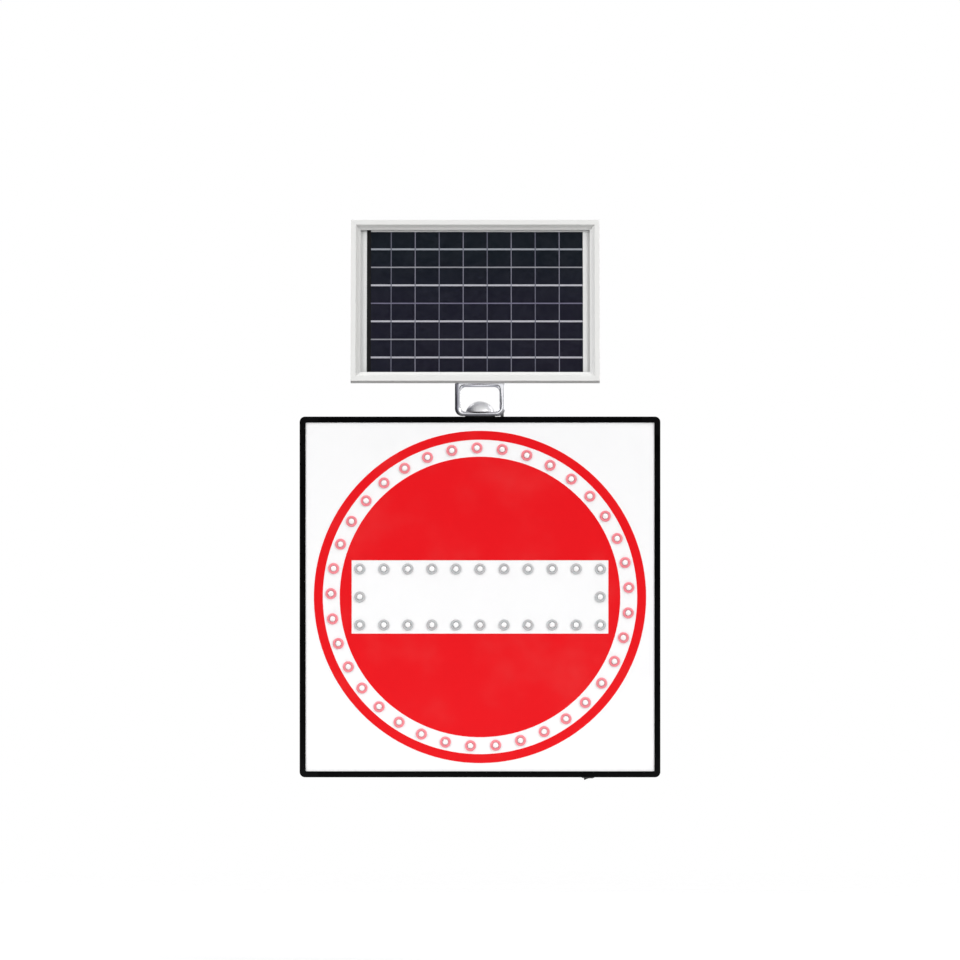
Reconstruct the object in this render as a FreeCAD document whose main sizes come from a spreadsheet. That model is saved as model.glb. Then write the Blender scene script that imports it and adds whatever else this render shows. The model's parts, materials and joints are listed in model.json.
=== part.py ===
import FreeCAD, Part
import Sketcher
import math
import os

# Solar LED no-entry sign on a post, with a solar panel on a tilting bracket.
# World frame: +Z up, +X to the right of a driver who faces the sign, the face
# looks along -Y.  The origin is on the post axis at the middle of the lower
# post clamp.  Lengths are in millimetres, angles in degrees.

Vector = FreeCAD.Vector
doc = FreeCAD.newDocument("solar_no_entry_sign")
sheet = doc.addObject("Spreadsheet::Sheet", "Sizes")


class Length:
    """A number together with the sheet formula that gives it."""

    def __init__(self, value, formula):
        self.value = float(value)
        self.formula = formula

    def __add__(self, other):
        other = as_length(other)
        return Length(self.value + other.value, "(%s + %s)" % (self.formula, other.formula))

    def __sub__(self, other):
        other = as_length(other)
        return Length(self.value - other.value, "(%s - %s)" % (self.formula, other.formula))

    def __mul__(self, other):
        other = as_length(other)
        return Length(self.value * other.value, "(%s * %s)" % (self.formula, other.formula))

    def __truediv__(self, other):
        other = as_length(other)
        return Length(self.value / other.value, "(%s / %s)" % (self.formula, other.formula))

    def __neg__(self):
        return Length(-self.value, "(0 - %s)" % self.formula)


def as_length(number):
    if isinstance(number, Length):
        return number
    number = float(number)
    if number < 0:
        return Length(number, "(0 - %.6f)" % -number)
    return Length(number, "%.6f" % number)


sheet_rows = []


def dim(alias, value, note=""):
    """One driving dimension: a plain number in the sheet, with an alias."""
    sheet_rows.append(alias)
    row = len(sheet_rows)
    sheet.set("A%d" % row, alias)
    sheet.set("B%d" % row, "%g" % value)
    sheet.setAlias("B%d" % row, alias)
    if note:
        sheet.set("C%d" % row, note)
    return Length(value, "Sizes." + alias)


# ---- box -------------------------------------------------------------------
sign_side = dim("sign_side", 600, "outer side of the square box")
box_depth = dim("box_depth", 60, "front lip to back plate, outside")
corner_rad = dim("corner_rad", 9, "outer radius of a box corner")
frame_wall = dim("frame_wall", 2, "outer wall of the frame profile")
lip_wide = dim("lip_wide", 10, "black border round the face")
lip_thick = dim("lip_thick", 1.6)
rib_wide = dim("rib_wide", 14)
rib_thick = dim("rib_thick", 1.6, "thickness of the front rib")
back_rib = dim("back_rib", 2, "thickness of the rear rib")
face_level = dim("face_level", 58, "front of the aluminium face plate")
face_thick = dim("face_thick", 2)
gasket_thick = dim("gasket_thick", 2.4, "between front rib and face plate")
sheeting_thick = dim("sheeting_thick", 0.4)
legend_thick = dim("legend_thick", 0.3)
plate_thick = dim("back_plate_thick", 2)
corner_leg = dim("corner_leg", 30)
spigot_leg = dim("spigot_leg", 55)
box_back = dim("box_back_y", -54, "world Y of the back plate's outer face")
box_mid = dim("box_centre_z", 170, "world Z of the middle of the face")

# ---- legend ----------------------------------------------------------------
red_ring_outer = dim("red_ring_outer_radius", 276.3)
red_ring_inner = dim("red_ring_inner_radius", 261.5)
red_disc_rad = dim("red_disc_radius", 233.3)
bar_long = dim("white_bar_length", 427)
bar_high = dim("white_bar_height", 122)

# ---- lamps -----------------------------------------------------------------
lamp_ring = dim("lamp_ring_radius", 248)
lamp_count = dim("ring_lamp_count", 37)
lamp_phase = dim("ring_lamp_phase", 3.6, "degrees, first lamp above the +X axis")
bar_row = dim("bar_lamp_row", 46.6, "height of a lamp row above or below centre")
bar_pitch = dim("bar_lamp_pitch", 40)
bar_end = dim("bar_lamp_end", 200)
bezel_rad = dim("bezel_radius", 9.2)
bezel_high = dim("bezel_height", 2.2)
barrel_rad = dim("barrel_radius", 6.5)
barrel_hole = dim("barrel_hole_radius", 6.6)
snap_rad = dim("snap_radius", 7.1)
bore_rad = dim("bezel_bore_radius", 5.1)
lamp_rad = dim("lamp_radius", 5.0)
lamp_flange = dim("lamp_flange_radius", 5.6)
barrel_end = dim("barrel_end", 50)
board_front = dim("board_front", 48.8)
board_thick = dim("board_thick", 1.6)
board_wide = dim("board_width", 17)
dome_base = dim("lamp_dome_base", 58)

# ---- service hatch and what it carries ---------------------------------------
hatch_x = dim("hatch_half_width", 150)
hatch_y = dim("hatch_half_height", 75)
hatch_gap = dim("hatch_gasket_thick", 1.5)
hatch_thick = dim("hatch_thick", 2)
open_x = dim("opening_half_width", 140)
open_y = dim("opening_half_height", 65)
cell_rad = dim("battery_radius", 16)
cell_long = dim("battery_length", 70)
cell_pitch = dim("battery_pitch", 34)
cell_first = dim("battery_first_x", -115)

# ---- rails and clamps --------------------------------------------------------
rail_high = dim("rail_height", 38)
rail_deep = dim("rail_depth", 18)
rail_long = dim("rail_length", 588)
rail_slot = dim("rail_slot", 12)
rail_sheet = dim("rail_sheet_thick", 2)
rail_lift = dim("rail_offset", 170, "rail centre above and below the box centre")
post_rad = dim("post_radius", 30.15)
clamp_wall = dim("clamp_wall", 5)
clamp_high = dim("clamp_height", 40)
clamp_bolt_x = dim("clamp_bolt_x", 47)
clamp_ear_x = dim("clamp_ear_x", 58)
clamp_ear_y = dim("clamp_ear_inner_y", 2)
clamp_ear_thick = dim("clamp_ear_thick", 6)
m8_rad = dim("m8_radius", 4)

# ---- swivel and loop bracket -------------------------------------------------
swivel_z = dim("swivel_z", 30, "swivel axis ahead of the box's back face")
washer_thick = dim("swivel_washer_thick", 1.2)
washer_rad = dim("swivel_washer_radius", 25)
loop_half = dim("loop_half_width", 41.75)
loop_top = dim("loop_top", 58.6)
web_top = dim("loop_web_top", 8.2)
hole_half = dim("loop_hole_half", 32.5)
hole_top = dim("loop_hole_top", 49.6)
loop_deep = dim("loop_depth", 36)
loop_outer_rad = dim("loop_outer_radius", 12)
loop_shoulder = dim("loop_shoulder_radius", 5, "upper corners, close under the panel")
loop_inner_rad = dim("loop_inner_radius", 9)
loop_round = dim("loop_edge_round", 3.3)
tilt_z = dim("tilt_axis_height", 69, "tilt axis above the box top")
ear_in = dim("loop_ear_inner", 14)
ear_out = dim("loop_ear_outer", 22)
ear_rad = dim("ear_radius", 9)
m12_rad = dim("m12_radius", 6)
swivel_hole = dim("swivel_hole_radius", 6.08)
tilt_hole = dim("tilt_hole_radius", 4.08)
bracket_half = dim("tilt_bracket_half_width", 25.3)
cap_rad = dim("dome_base_radius", 23.7)
cap_high = dim("dome_height", 17.4)
cap_wall = dim("dome_wall", 1.5)

# ---- solar panel -------------------------------------------------------------
panel_turn = dim("panel_turn", 80, "turn about X: 90 is upright, 80 leans back 10")
panel_left = dim("panel_left", -215)
panel_right = dim("panel_right", 199)
panel_bottom = dim("panel_bottom", -18)
panel_top = dim("panel_top", 255)
panel_rear = dim("panel_rear", 24)
panel_front = dim("panel_front", 46)
glass_rear = dim("glass_rear", 35.3)
glass_front = dim("glass_front", 38.5)
backsheet_rear = dim("backsheet_rear", 34.2)
backsheet_thick = dim("backsheet_thick", 0.6)
solar_thick = dim("solar_cell_thick", 0.2)
ribbon_thick = dim("ribbon_thick", 0.15)
solar_pitch_x = dim("solar_pitch_x", 40)
solar_pitch_y = dim("solar_pitch_y", 61.2)
solar_gap_x = dim("solar_gap_x", 1.6)
solar_gap_y = dim("solar_gap_y", 2.2)
solar_centre_x = dim("solar_centre_x", -8)
solar_centre_y = dim("solar_centre_y", 115.4)
ribbon_wide = dim("ribbon_width", 3.0)
strut_thick = dim("strut_thick", 3)
doc.recompute()

half = sign_side / 2
lid_level = face_level + sheeting_thick       # underside of the front lip
plate_low = face_level - face_thick           # rear of the face plate
rib_top = plate_low - gasket_thick            # front of the front rib
rib_low = rib_top - rib_thick

# Working frames: world Y and Z of the base point, and the turn about X.
WORLD = (as_length(0), as_length(0), None)
# SIGN: x right, y up, z out of the face; zero is the back plate's outer face
SIGN = (box_back, box_mid, as_length(90))
# LOOP: parallel to the world, zero where the swivel axis meets the box top
loop_y = box_back - swivel_z
loop_z = box_mid + half
LOOP = (loop_y, loop_z, None)
# LOOP_UP: the same point, x right, y up, z toward the driver
LOOP_UP = (loop_y, loop_z, as_length(90))
# PANEL: x right along the tilt axis, y up the panel, z out of its glass
PANEL = (loop_y, loop_z + tilt_z, panel_turn)

pieces = []


def place(piece, frame):
    """Put a finished piece in its working frame and list it for export."""
    base_y, base_z, turn = frame
    rotation = FreeCAD.Rotation()
    if turn is not None:
        rotation = FreeCAD.Rotation(Vector(1, 0, 0), turn.value)
    piece.Placement = FreeCAD.Placement(Vector(0, base_y.value, base_z.value), rotation)
    piece.setExpression("Placement.Base.y", base_y.formula)
    piece.setExpression("Placement.Base.z", base_z.formula)
    if turn is not None:
        piece.setExpression("Placement.Rotation.Angle", turn.formula)
    pieces.append(piece)


class Sketch:
    """A fully dimensioned sketch on one of the body's own planes.

    XY_Plane looks along +z; YZ_Plane looks along +x and takes (y, z) points;
    XZ_Plane looks along -y and takes (x, z) points, so level L lies at y = -L.
    """

    def __init__(self, body, name, plane, level):
        self.object = body.object.newObject("Sketcher::SketchObject", name)
        self.object.AttachmentSupport = [(body.planes[plane], "")]
        self.object.MapMode = "FlatFace"
        self.object.AttachmentOffset = FreeCAD.Placement(
            Vector(0, 0, level.value), FreeCAD.Rotation())
        self.object.setExpression("AttachmentOffset.Base.z", level.formula)
        self.object.Visibility = False

    def constrain(self, length, *constraint):
        index = self.object.addConstraint(Sketcher.Constraint(*constraint, length.value))
        self.object.setExpression("Constraints[%d]" % index, length.formula)

    def join(self, *ends):
        self.object.addConstraint(Sketcher.Constraint("Coincident", *ends))

    def fix(self, geometry, point, x, y):
        self.constrain(x, "DistanceX", -1, 1, geometry, point)
        self.constrain(y, "DistanceY", -1, 1, geometry, point)

    def circle(self, x, y, radius):
        x, y, radius = as_length(x), as_length(y), as_length(radius)
        curve = Part.Circle(Vector(x.value, y.value, 0), Vector(0, 0, 1), radius.value)
        circle = self.object.addGeometry(curve)
        self.fix(circle, 3, x, y)
        self.constrain(radius, "Radius", circle)
        return self

    def poly(self, points):
        """Closed outline; a point may carry a radius where its edges are square."""
        corners = [(as_length(p[0]), as_length(p[1]), as_length(p[2]) if len(p) > 2 else None)
                   for p in points]
        lines = []
        for (x0, y0, radius0), (x1, y1, radius1) in zip(corners, corners[1:] + corners[:1]):
            heading = Vector(x1.value - x0.value, y1.value - y0.value, 0)
            heading.normalize()
            step_x, step_y = round(heading.x), round(heading.y)
            if radius0 is not None:
                x0, y0 = x0 + radius0 * step_x, y0 + radius0 * step_y
            if radius1 is not None:
                x1, y1 = x1 - radius1 * step_x, y1 - radius1 * step_y
            line = self.object.addGeometry(Part.LineSegment(
                Vector(x0.value, y0.value, 0), Vector(x1.value, y1.value, 0)))
            lines.append((line, heading, (x0, y0), (x1, y1)))
        for i, (line, heading, _, end) in enumerate(lines):
            following = (i + 1) % len(lines)
            next_line, next_heading, start, _ = lines[following]
            radius = corners[following][2]
            self.fix(next_line, 1, *start)
            if radius is None:
                self.join(line, 2, next_line, 1)
                continue
            self.fix(line, 2, *end)
            self.round_corner(line, heading, end, next_line, next_heading, start, radius)
        return self

    def round_corner(self, line, heading, end, next_line, next_heading, start, radius):
        """Arc from the end of one line to the start of the next."""
        turns_left = heading.x * next_heading.y - heading.y * next_heading.x > 0
        centre = Vector(end[0].value + next_heading.x * radius.value,
                        end[1].value + next_heading.y * radius.value, 0)
        first, last = (end, start) if turns_left else (start, end)
        angle0 = math.atan2(first[1].value - centre.y, first[0].value - centre.x)
        angle1 = math.atan2(last[1].value - centre.y, last[0].value - centre.x)
        if angle1 < angle0:
            angle1 += 2 * math.pi
        circle = Part.Circle(centre, Vector(0, 0, 1), radius.value)
        arc = self.object.addGeometry(Part.ArcOfCircle(circle, angle0, angle1))
        self.join(line, 2, arc, 1 if turns_left else 2)
        self.join(next_line, 1, arc, 2 if turns_left else 1)
        self.constrain(radius, "Radius", arc)

    def rect(self, x0, x1, y0, y1, radius=None):
        corners = [(x0, y0), (x1, y0), (x1, y1), (x0, y1)]
        if radius is not None:
            corners = [corner + (radius,) for corner in corners]
        return self.poly(corners)

    def centred(self, half_x, half_y, radius=None):
        return self.rect(-half_x, half_x, -half_y, half_y, radius)

    def hexagon(self, x, y, flats):
        radius = as_length(flats) / math.sqrt(3.0)
        angles = [math.radians(60 * k) for k in range(6)]
        return self.poly([(as_length(x) + radius * math.cos(a),
                           as_length(y) + radius * math.sin(a)) for a in angles])

    def circles(self, places, radius):
        for x, y in places:
            self.circle(x, y, radius)
        return self

    def hexagons(self, places, flats):
        for x, y in places:
            self.hexagon(x, y, flats)
        return self

    def nuts(self, places, flats, bore):
        for x, y in places:
            self.hexagon(x, y, flats).circle(x, y, bore)
        return self


class Body:
    """One sub-part: a PartDesign body with its own label and placement."""

    def __init__(self, label, frame):
        self.label = label
        self.object = doc.addObject("PartDesign::Body", label)
        self.object.Label = label
        self.object.AllowCompound = True
        self.planes = dict((f.Role, f) for f in self.object.Origin.OriginFeatures)
        self.sketch_count = 0
        self.volume = 0.0
        place(self.object, frame)

    def sketch(self, level=0, plane="XY_Plane"):
        self.sketch_count += 1
        name = "%s_s%d" % (self.label, self.sketch_count)
        return Sketch(self, name, plane, as_length(level))

    def add(self, kind):
        name = "%s_%s%d" % (self.label, kind, self.sketch_count)
        return self.object.newObject("PartDesign::" + kind, name)

    def pad(self, sketch, length, mid=False):
        pad = self.add("Pad")
        pad.Profile = sketch.object
        pad.setExpression("Length", as_length(length).formula)
        pad.Midplane = mid
        doc.recompute()
        if not pad.Shape.Volume > self.volume + 1e-6:
            raise RuntimeError("%s: %s added nothing" % (self.label, pad.Name))
        self.volume = pad.Shape.Volume

    def cut(self, sketch, length, ahead=True, mid=False):
        """Pocket along the way the sketch looks, or against it if not ahead.

        Through cuts start a little before the material and end past it.
        """
        pocket = self.add("Pocket")
        pocket.Profile = sketch.object
        pocket.setExpression("Length", as_length(length).formula)
        pocket.Reversed = ahead
        pocket.Midplane = mid
        doc.recompute()
        if not pocket.Shape.Volume < self.volume - 1e-6:
            raise RuntimeError("%s: %s cut nothing" % (self.label, pocket.Name))
        self.volume = pocket.Shape.Volume

    def dress(self, kind, size_name, pick, size):
        base = self.object.Tip
        names = ["Edge%d" % (i + 1) for i, edge in enumerate(base.Shape.Edges) if pick(edge)]
        if not names:
            raise RuntimeError("%s: no edge to dress" % self.label)
        dressing = self.add(kind)
        dressing.Base = (base, names)
        dressing.setExpression(size_name, as_length(size).formula)
        doc.recompute()
        self.volume = dressing.Shape.Volume

    def fillet(self, pick, radius):
        self.dress("Fillet", "Radius", pick, radius)

    def chamfer(self, pick, size):
        self.dress("Chamfer", "Size", pick, size)


def at_level(edge, z, tolerance=1e-4):
    """True for an edge that lies at height z of its own body."""
    box = edge.BoundBox
    return abs(box.ZMin - z) < tolerance and abs(box.ZMax - z) < tolerance


def is_circle(edge, radius):
    return abs(edge.Length - 2 * math.pi * radius) < 1e-3


def cable(points, radius, bend):
    """A round cable along straight runs with rounded bends: a closed solid."""
    points = [Vector(*point) for point in points]
    edges = []
    here = points[0]
    for before, corner, after in zip(points, points[1:], points[2:]):
        back = (before - corner).normalize()
        onward = (after - corner).normalize()
        angle = back.getAngle(onward)
        reach = bend / math.tan(angle / 2.0)
        bend_start = corner + back * reach
        bend_end = corner + onward * reach
        inward = (back + onward).normalize()
        centre = corner + inward * (bend / math.sin(angle / 2.0))
        bend_mid = centre - inward * bend
        edges.append(Part.LineSegment(here, bend_start).toShape())
        edges.append(Part.Arc(bend_start, bend_mid, bend_end).toShape())
        here = bend_end
    edges.append(Part.LineSegment(here, points[-1]).toShape())
    section = Part.Wire([Part.Circle(points[0], points[1] - points[0], radius).toShape()])
    return Part.Wire(edges).makePipeShell([section], True, False)


def shape_piece(label, shape, frame):
    """A sub-part whose shape is not a prismatic one."""
    piece = doc.addObject("Part::Feature", label)
    piece.Label = label
    piece.Shape = shape
    place(piece, frame)


# --------------------------------------------------------------------------
# box frame: four extruded straights
# --------------------------------------------------------------------------
screw_inset = 8                      # rear rib screws, in from the outer face
screw_xs = (-220, -75, 75, 220)      # along the top and bottom
screw_ys = (-260, -90, 90, 260)      # along the sides
grub_places = [(-258, 28), (258, 28)]    # (along the side, z) of corner grub screws
grub_rad = 2.0
switch_x, switch_z = 180, 30         # rocker switch in the box's underside
swivel_clear = m12_rad + 0.2

# Section of a straight: (in from the outer face, z[, corner radius])
STRAIGHT_SECTION = [
    (0, 0), (frame_wall, 0), (frame_wall, back_rib), (rib_wide, back_rib),
    (rib_wide, back_rib * 2), (frame_wall, back_rib * 2),
    (frame_wall, rib_low), (rib_wide, rib_low), (rib_wide, rib_top), (frame_wall, rib_top),
    (frame_wall, lid_level), (lip_wide, lid_level),
    (lip_wide, box_depth, 0.6), (0, box_depth, 1.0)]


def frame_straight(label, plane, side):
    """Straight whose section lies in the plane; side is +1 or -1 of the centre."""
    body = Body(label, SIGN)
    section = [((half - p[0]) * side,) + p[1:] for p in STRAIGHT_SECTION]
    body.pad(body.sketch(0, plane).poly(section), sign_side - corner_leg * 2, mid=True)
    return body


def fixing_holes(body, screws, plane, direction):
    """Screw holes in the rear rib, then grub screw holes in the outer wall."""
    body.cut(body.sketch(back_rib - 0.5).circles(screws, 2.0), 3)
    level = half - 3 if direction > 0 else -half - 1
    body.cut(body.sketch(level, plane).circles(grub_places, 2.05), 4)


top = frame_straight("frame_top", "YZ_Plane", 1)
top.cut(top.sketch(-(half + 1), "XZ_Plane").circle(0, swivel_z, swivel_clear), 6)
fixing_holes(top, [(x, half - screw_inset) for x in screw_xs], "XZ_Plane", -1)

bottom = frame_straight("frame_bottom", "YZ_Plane", -1)
# cut-out for the rocker switch
bottom.cut(bottom.sketch(half - 3, "XZ_Plane").rect(
    switch_x - 9.6, switch_x + 9.6, switch_z - 6.5, switch_z + 6.5), 6)
fixing_holes(bottom, [(x, -(half - screw_inset)) for x in screw_xs], "XZ_Plane", 1)

for label, side in (("frame_right", 1), ("frame_left", -1)):
    body = frame_straight(label, "XZ_Plane", side)
    fixing_holes(body, [((half - screw_inset) * side, y) for y in screw_ys], "YZ_Plane", side)

# --------------------------------------------------------------------------
# four corner mouldings and their grub screws
# --------------------------------------------------------------------------
spigot_level, spigot_deep = 6, 45
spigot_out = half - 2.2              # spigot faces inside the straights
spigot_in = half - 11.8


def in_corners(sketch, outline):
    """Draw an outline of the upper right corner in all four corners."""
    for side_x, side_y in ((1, 1), (-1, 1), (-1, -1), (1, -1)):
        sketch.poly([(as_length(p[0]) * side_x, as_length(p[1]) * side_y) + p[2:]
                     for p in outline])
    return sketch


def corner_ell(inner, inner_rad):
    """L-shaped outline, from the outer face to the depth called inner."""
    start = half - corner_leg
    return [(start, half), (half, half, corner_rad), (half, start), (half - inner, start),
            (half - inner, half - inner, inner_rad), (start, half - inner)]


spigot_end, moulding_end = half - spigot_leg, half - corner_leg
SPIGOT = [
    (spigot_end, spigot_out), (moulding_end, spigot_out), (moulding_end, half - 1),
    (half - 8, half - 1), (half - 1, half - 8),
    (half - 1, moulding_end), (spigot_out, moulding_end), (spigot_out, spigot_end),
    (spigot_in, spigot_end), (spigot_in, spigot_in), (spigot_end, spigot_in)]

body = Body("frame_corners", SIGN)
body.pad(in_corners(body.sketch(0), corner_ell(frame_wall, corner_rad - 2)), box_depth)
for level, thick, inner in ((lid_level, lip_thick, lip_wide), (rib_low, rib_thick, rib_wide),
                            (back_rib, back_rib, rib_wide)):
    body.pad(in_corners(body.sketch(level), corner_ell(inner, 2)), thick)
body.pad(in_corners(body.sketch(spigot_level), SPIGOT), spigot_deep)
# rectangular pockets near the spigot ends: (along, across) spans in from the outer faces
along = (half - 52, half - 46)
across = (half - 9.6, half - 4.4)
sketch = body.sketch(spigot_level + 2)
for side_x, side_y in ((1, 1), (-1, 1), (-1, -1), (1, -1)):
    for span_x, span_y in ((along, across), (across, along)):
        sketch.rect(*[x * side_x for x in span_x], *[y * side_y for y in span_y])
body.cut(sketch, 50)
# grub screw holes, right across the sign
for plane in ("XZ_Plane", "YZ_Plane"):
    body.cut(body.sketch(0, plane).circles(grub_places, grub_rad), sign_side + 10, mid=True)


def front_corner_edge(edge):
    """Outer edge of the front lip round a corner."""
    box = edge.BoundBox
    reach_x = max(abs(box.XMin), abs(box.XMax))
    reach_y = max(abs(box.YMin), abs(box.YMax))
    return (at_level(edge, box_depth.value)
            and abs(max(reach_x, reach_y) - half.value) < 1e-3
            and min(reach_x, reach_y) > half.value - 10)


body.fillet(front_corner_edge, 1.0)

body = Body("corner_screws", SIGN)
for plane in ("XZ_Plane", "YZ_Plane"):
    for level in (half - 10.5, -(half - 0.3)):
        body.pad(body.sketch(level, plane).circles(grub_places, grub_rad), 10.2)
# hexagon sockets in the outer ends
for plane in ("XZ_Plane", "YZ_Plane"):
    for level in (half - 2.3, -(half - 0.2)):
        body.cut(body.sketch(level, plane).hexagons(grub_places, 2.0), 2.1)

# --------------------------------------------------------------------------
# face: plate, white sheeting, red film, gasket
# --------------------------------------------------------------------------
plate_half, plate_corner = half - 2.5, 6.8
film_half, film_corner = half - 2.7, 6.6


def ring_angle(step):
    """Angle of a lamp of the ring; half steps lie between lamps."""
    return math.radians(lamp_phase.value + 360.0 * step / lamp_count.value)


def on_ring(step):
    angle = ring_angle(step)
    return lamp_ring * math.cos(angle), lamp_ring * math.sin(angle)


ring_lamps = [on_ring(k) for k in range(int(lamp_count.value))]
bar_lamps = [(bar_pitch * k, bar_row * side) for side in (1, -1) for k in range(-5, 6)]
bar_lamps += [(bar_end, 0), (-bar_end, 0)]

body = Body("face_plate", SIGN)
body.pad(body.sketch(plate_low).centred(plate_half, plate_half, plate_corner), face_thick)
body.cut(body.sketch(plate_low - 1).circles(ring_lamps + bar_lamps, barrel_hole), 6)

body = Body("white_sheeting", SIGN)
body.pad(body.sketch(face_level).centred(film_half, film_half, film_corner), sheeting_thick)
body.cut(body.sketch(face_level - 1).circles(ring_lamps + bar_lamps, barrel_hole), 4)

body = Body("red_legend", SIGN)
body.pad(body.sketch(lid_level).circle(0, 0, red_ring_outer).circle(0, 0, red_ring_inner),
         legend_thick)
body.pad(body.sketch(lid_level).circle(0, 0, red_disc_rad), legend_thick)
body.cut(body.sketch(lid_level - 1).centred(bar_long / 2, bar_high / 2), 4)

body = Body("face_gasket", SIGN)
body.pad(body.sketch(rib_top).centred(half - 2.6, half - 2.6, 6.6)
         .centred(half - 13.5, half - 13.5, 3), gasket_thick)

# --------------------------------------------------------------------------
# lamps: bezels and lamp bodies
# --------------------------------------------------------------------------
snap_high = 1.4
bezel_top = lid_level + bezel_high
lamp_top = dome_base + lamp_rad

for label, places in (("ring_led_bezels", ring_lamps), ("bar_led_bezels", bar_lamps)):
    body = Body(label, SIGN)
    body.pad(body.sketch(lid_level).circles(places, bezel_rad), bezel_high)
    body.pad(body.sketch(barrel_end).circles(places, barrel_rad), lid_level - barrel_end)
    body.pad(body.sketch(plate_low - snap_high).circles(places, snap_rad), snap_high)
    body.cut(body.sketch(barrel_end - 1).circles(places, bore_rad), 20)
    body.fillet(lambda edge: at_level(edge, bezel_top.value)
                and is_circle(edge, bezel_rad.value), 1.6)

for label, places in (("ring_leds", ring_lamps), ("bar_leds", bar_lamps)):
    body = Body(label, SIGN)
    body.pad(body.sketch(board_front).circles(places, lamp_flange), barrel_end - board_front)
    body.pad(body.sketch(barrel_end).circles(places, lamp_rad), lamp_top - barrel_end)
    # just under the full radius, which leaves a small flat on the dome
    body.fillet(lambda edge: at_level(edge, lamp_top.value), 4.9)

# --------------------------------------------------------------------------
# lamp boards and the studs that hold them to the face plate
# --------------------------------------------------------------------------
stud_hole_rad = 1.5
stud_rad, thread_rad, thread_low = 3.0, 1.45, 43
stud_nut_flats, stud_nut_high = 5.5, 2.4
ring_studs = [on_ring(k + 0.5) for k in (1, 7, 10, 16, 20, 26, 29, 35)]
bar_studs = [(100, bar_row), (-100, bar_row), (100, -bar_row), (-100, -bar_row),
             (bar_end, 23.3), (-bar_end, 23.3), (bar_end, -23.3), (-bar_end, -23.3)]
studs = ring_studs + bar_studs
board_back = board_front - board_thick

# radial slits that part the ring into four boards
slit_inner, slit_outer, slit_half = 230, 266, 2
body = Body("ring_led_boards", SIGN)
body.pad(body.sketch(board_back).circle(0, 0, lamp_ring + board_wide / 2)
         .circle(0, 0, lamp_ring - board_wide / 2), board_thick)
sketch = body.sketch(board_back - 1)
for step in (4.5, 13.5, 23.5, 32.5):
    cosine, sine = math.cos(ring_angle(step)), math.sin(ring_angle(step))
    sketch.poly([(reach * cosine - offset * sine, reach * sine + offset * cosine)
                 for reach, offset in ((slit_inner, slit_half), (slit_inner, -slit_half),
                                       (slit_outer, -slit_half), (slit_outer, slit_half))])
body.cut(sketch, 6)
body.cut(body.sketch(board_back - 1).circles(ring_studs, stud_hole_rad), 6)

# two long boards and two short upright ones at the ends of the bar
long_half, short_half, strip_half, board_corner = 210, 38, 8, 2
body = Body("bar_led_boards", SIGN)
sketch = body.sketch(board_back)
for side in (1, -1):
    row_y, end_x = bar_row * side, bar_end * side
    sketch.rect(-long_half, long_half, row_y - strip_half, row_y + strip_half, board_corner)
    sketch.rect(end_x - strip_half, end_x + strip_half, -short_half, short_half, board_corner)
body.pad(sketch, board_thick)
body.cut(body.sketch(board_back - 1).circles(bar_studs, stud_hole_rad), 6)

body = Body("board_studs", SIGN)
body.pad(body.sketch(board_front).circles(studs, stud_rad), plate_low - board_front)
body.pad(body.sketch(thread_low).circles(studs, thread_rad), board_front - thread_low)
body.pad(body.sketch(board_back - stud_nut_high)
         .nuts(studs, stud_nut_flats, thread_rad + 0.01), stud_nut_high)

# --------------------------------------------------------------------------
# back plate, hatch, screws
# --------------------------------------------------------------------------
edge_screws = []
for side in (1, -1):
    edge_screws += [((half - screw_inset) * side, y) for y in screw_ys]
    edge_screws += [(x, (half - screw_inset) * side) for x in screw_xs]
hatch_screws = [(x, y) for x in (-144.5, 144.5) for y in (-50, 50)]
hatch_screws += [(x, y) for x in (-60, 60) for y in (-69.5, 69.5)]
rivets = [(x, rail_lift * side) for x in (-260, -170, -80, 80, 170, 260) for side in (1, -1)]
gland_x, gland_y = 37, 262
screw_hole_rad = 2.05
screw_rad, screw_head_rad, screw_head_high = 2.0, 3.9, 2.4
rivet_rad = 2.4
hatch_back = -(hatch_gap + hatch_thick)

body = Body("back_plate", SIGN)
body.pad(body.sketch(0).centred(plate_half, plate_half, plate_corner)
         .centred(open_x, open_y, 8), plate_thick)
body.cut(body.sketch(-1).circles(edge_screws + hatch_screws, screw_hole_rad)
         .circles(rivets, rivet_rad).circle(gland_x, gland_y, 6.1), 4)

body = Body("service_hatch", SIGN)
body.pad(body.sketch(hatch_back).centred(hatch_x, hatch_y, 10), hatch_thick)
body.cut(body.sketch(-6).circles(hatch_screws, screw_hole_rad), 6)
# two shallow stiffening swages pressed outward
body.pad(body.sketch(hatch_back - 0.8).rect(-110, 110, 18, 40, 8)
         .rect(-110, 110, -40, -18, 8), 1.2)

body = Body("hatch_gasket", SIGN)
body.pad(body.sketch(-hatch_gap).centred(hatch_x - 2, hatch_y - 2, 8)
         .centred(open_x + 1, open_y + 1, 7), hatch_gap)
body.cut(body.sketch(-6).circles(hatch_screws, screw_hole_rad), 12)

body = Body("back_screws", SIGN)
# (places, level under the head, shank length)
screw_sets = ((edge_screws, as_length(0), 6), (hatch_screws, hatch_back, 8))
for places, seat, shank in screw_sets:
    body.pad(body.sketch(seat - screw_head_high).circles(places, screw_head_rad),
             screw_head_high)
for places, seat, shank in screw_sets:
    body.pad(body.sketch(seat - 0.2).circles(places, screw_rad), shank)
for places, seat, shank in screw_sets:
    body.cut(body.sketch(seat - 2.6).hexagons(places, 2.5), 2.0)
body.fillet(lambda edge: (at_level(edge, -screw_head_high)
                          or at_level(edge, hatch_back.value - screw_head_high))
            and is_circle(edge, screw_head_rad), 1.2)

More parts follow.
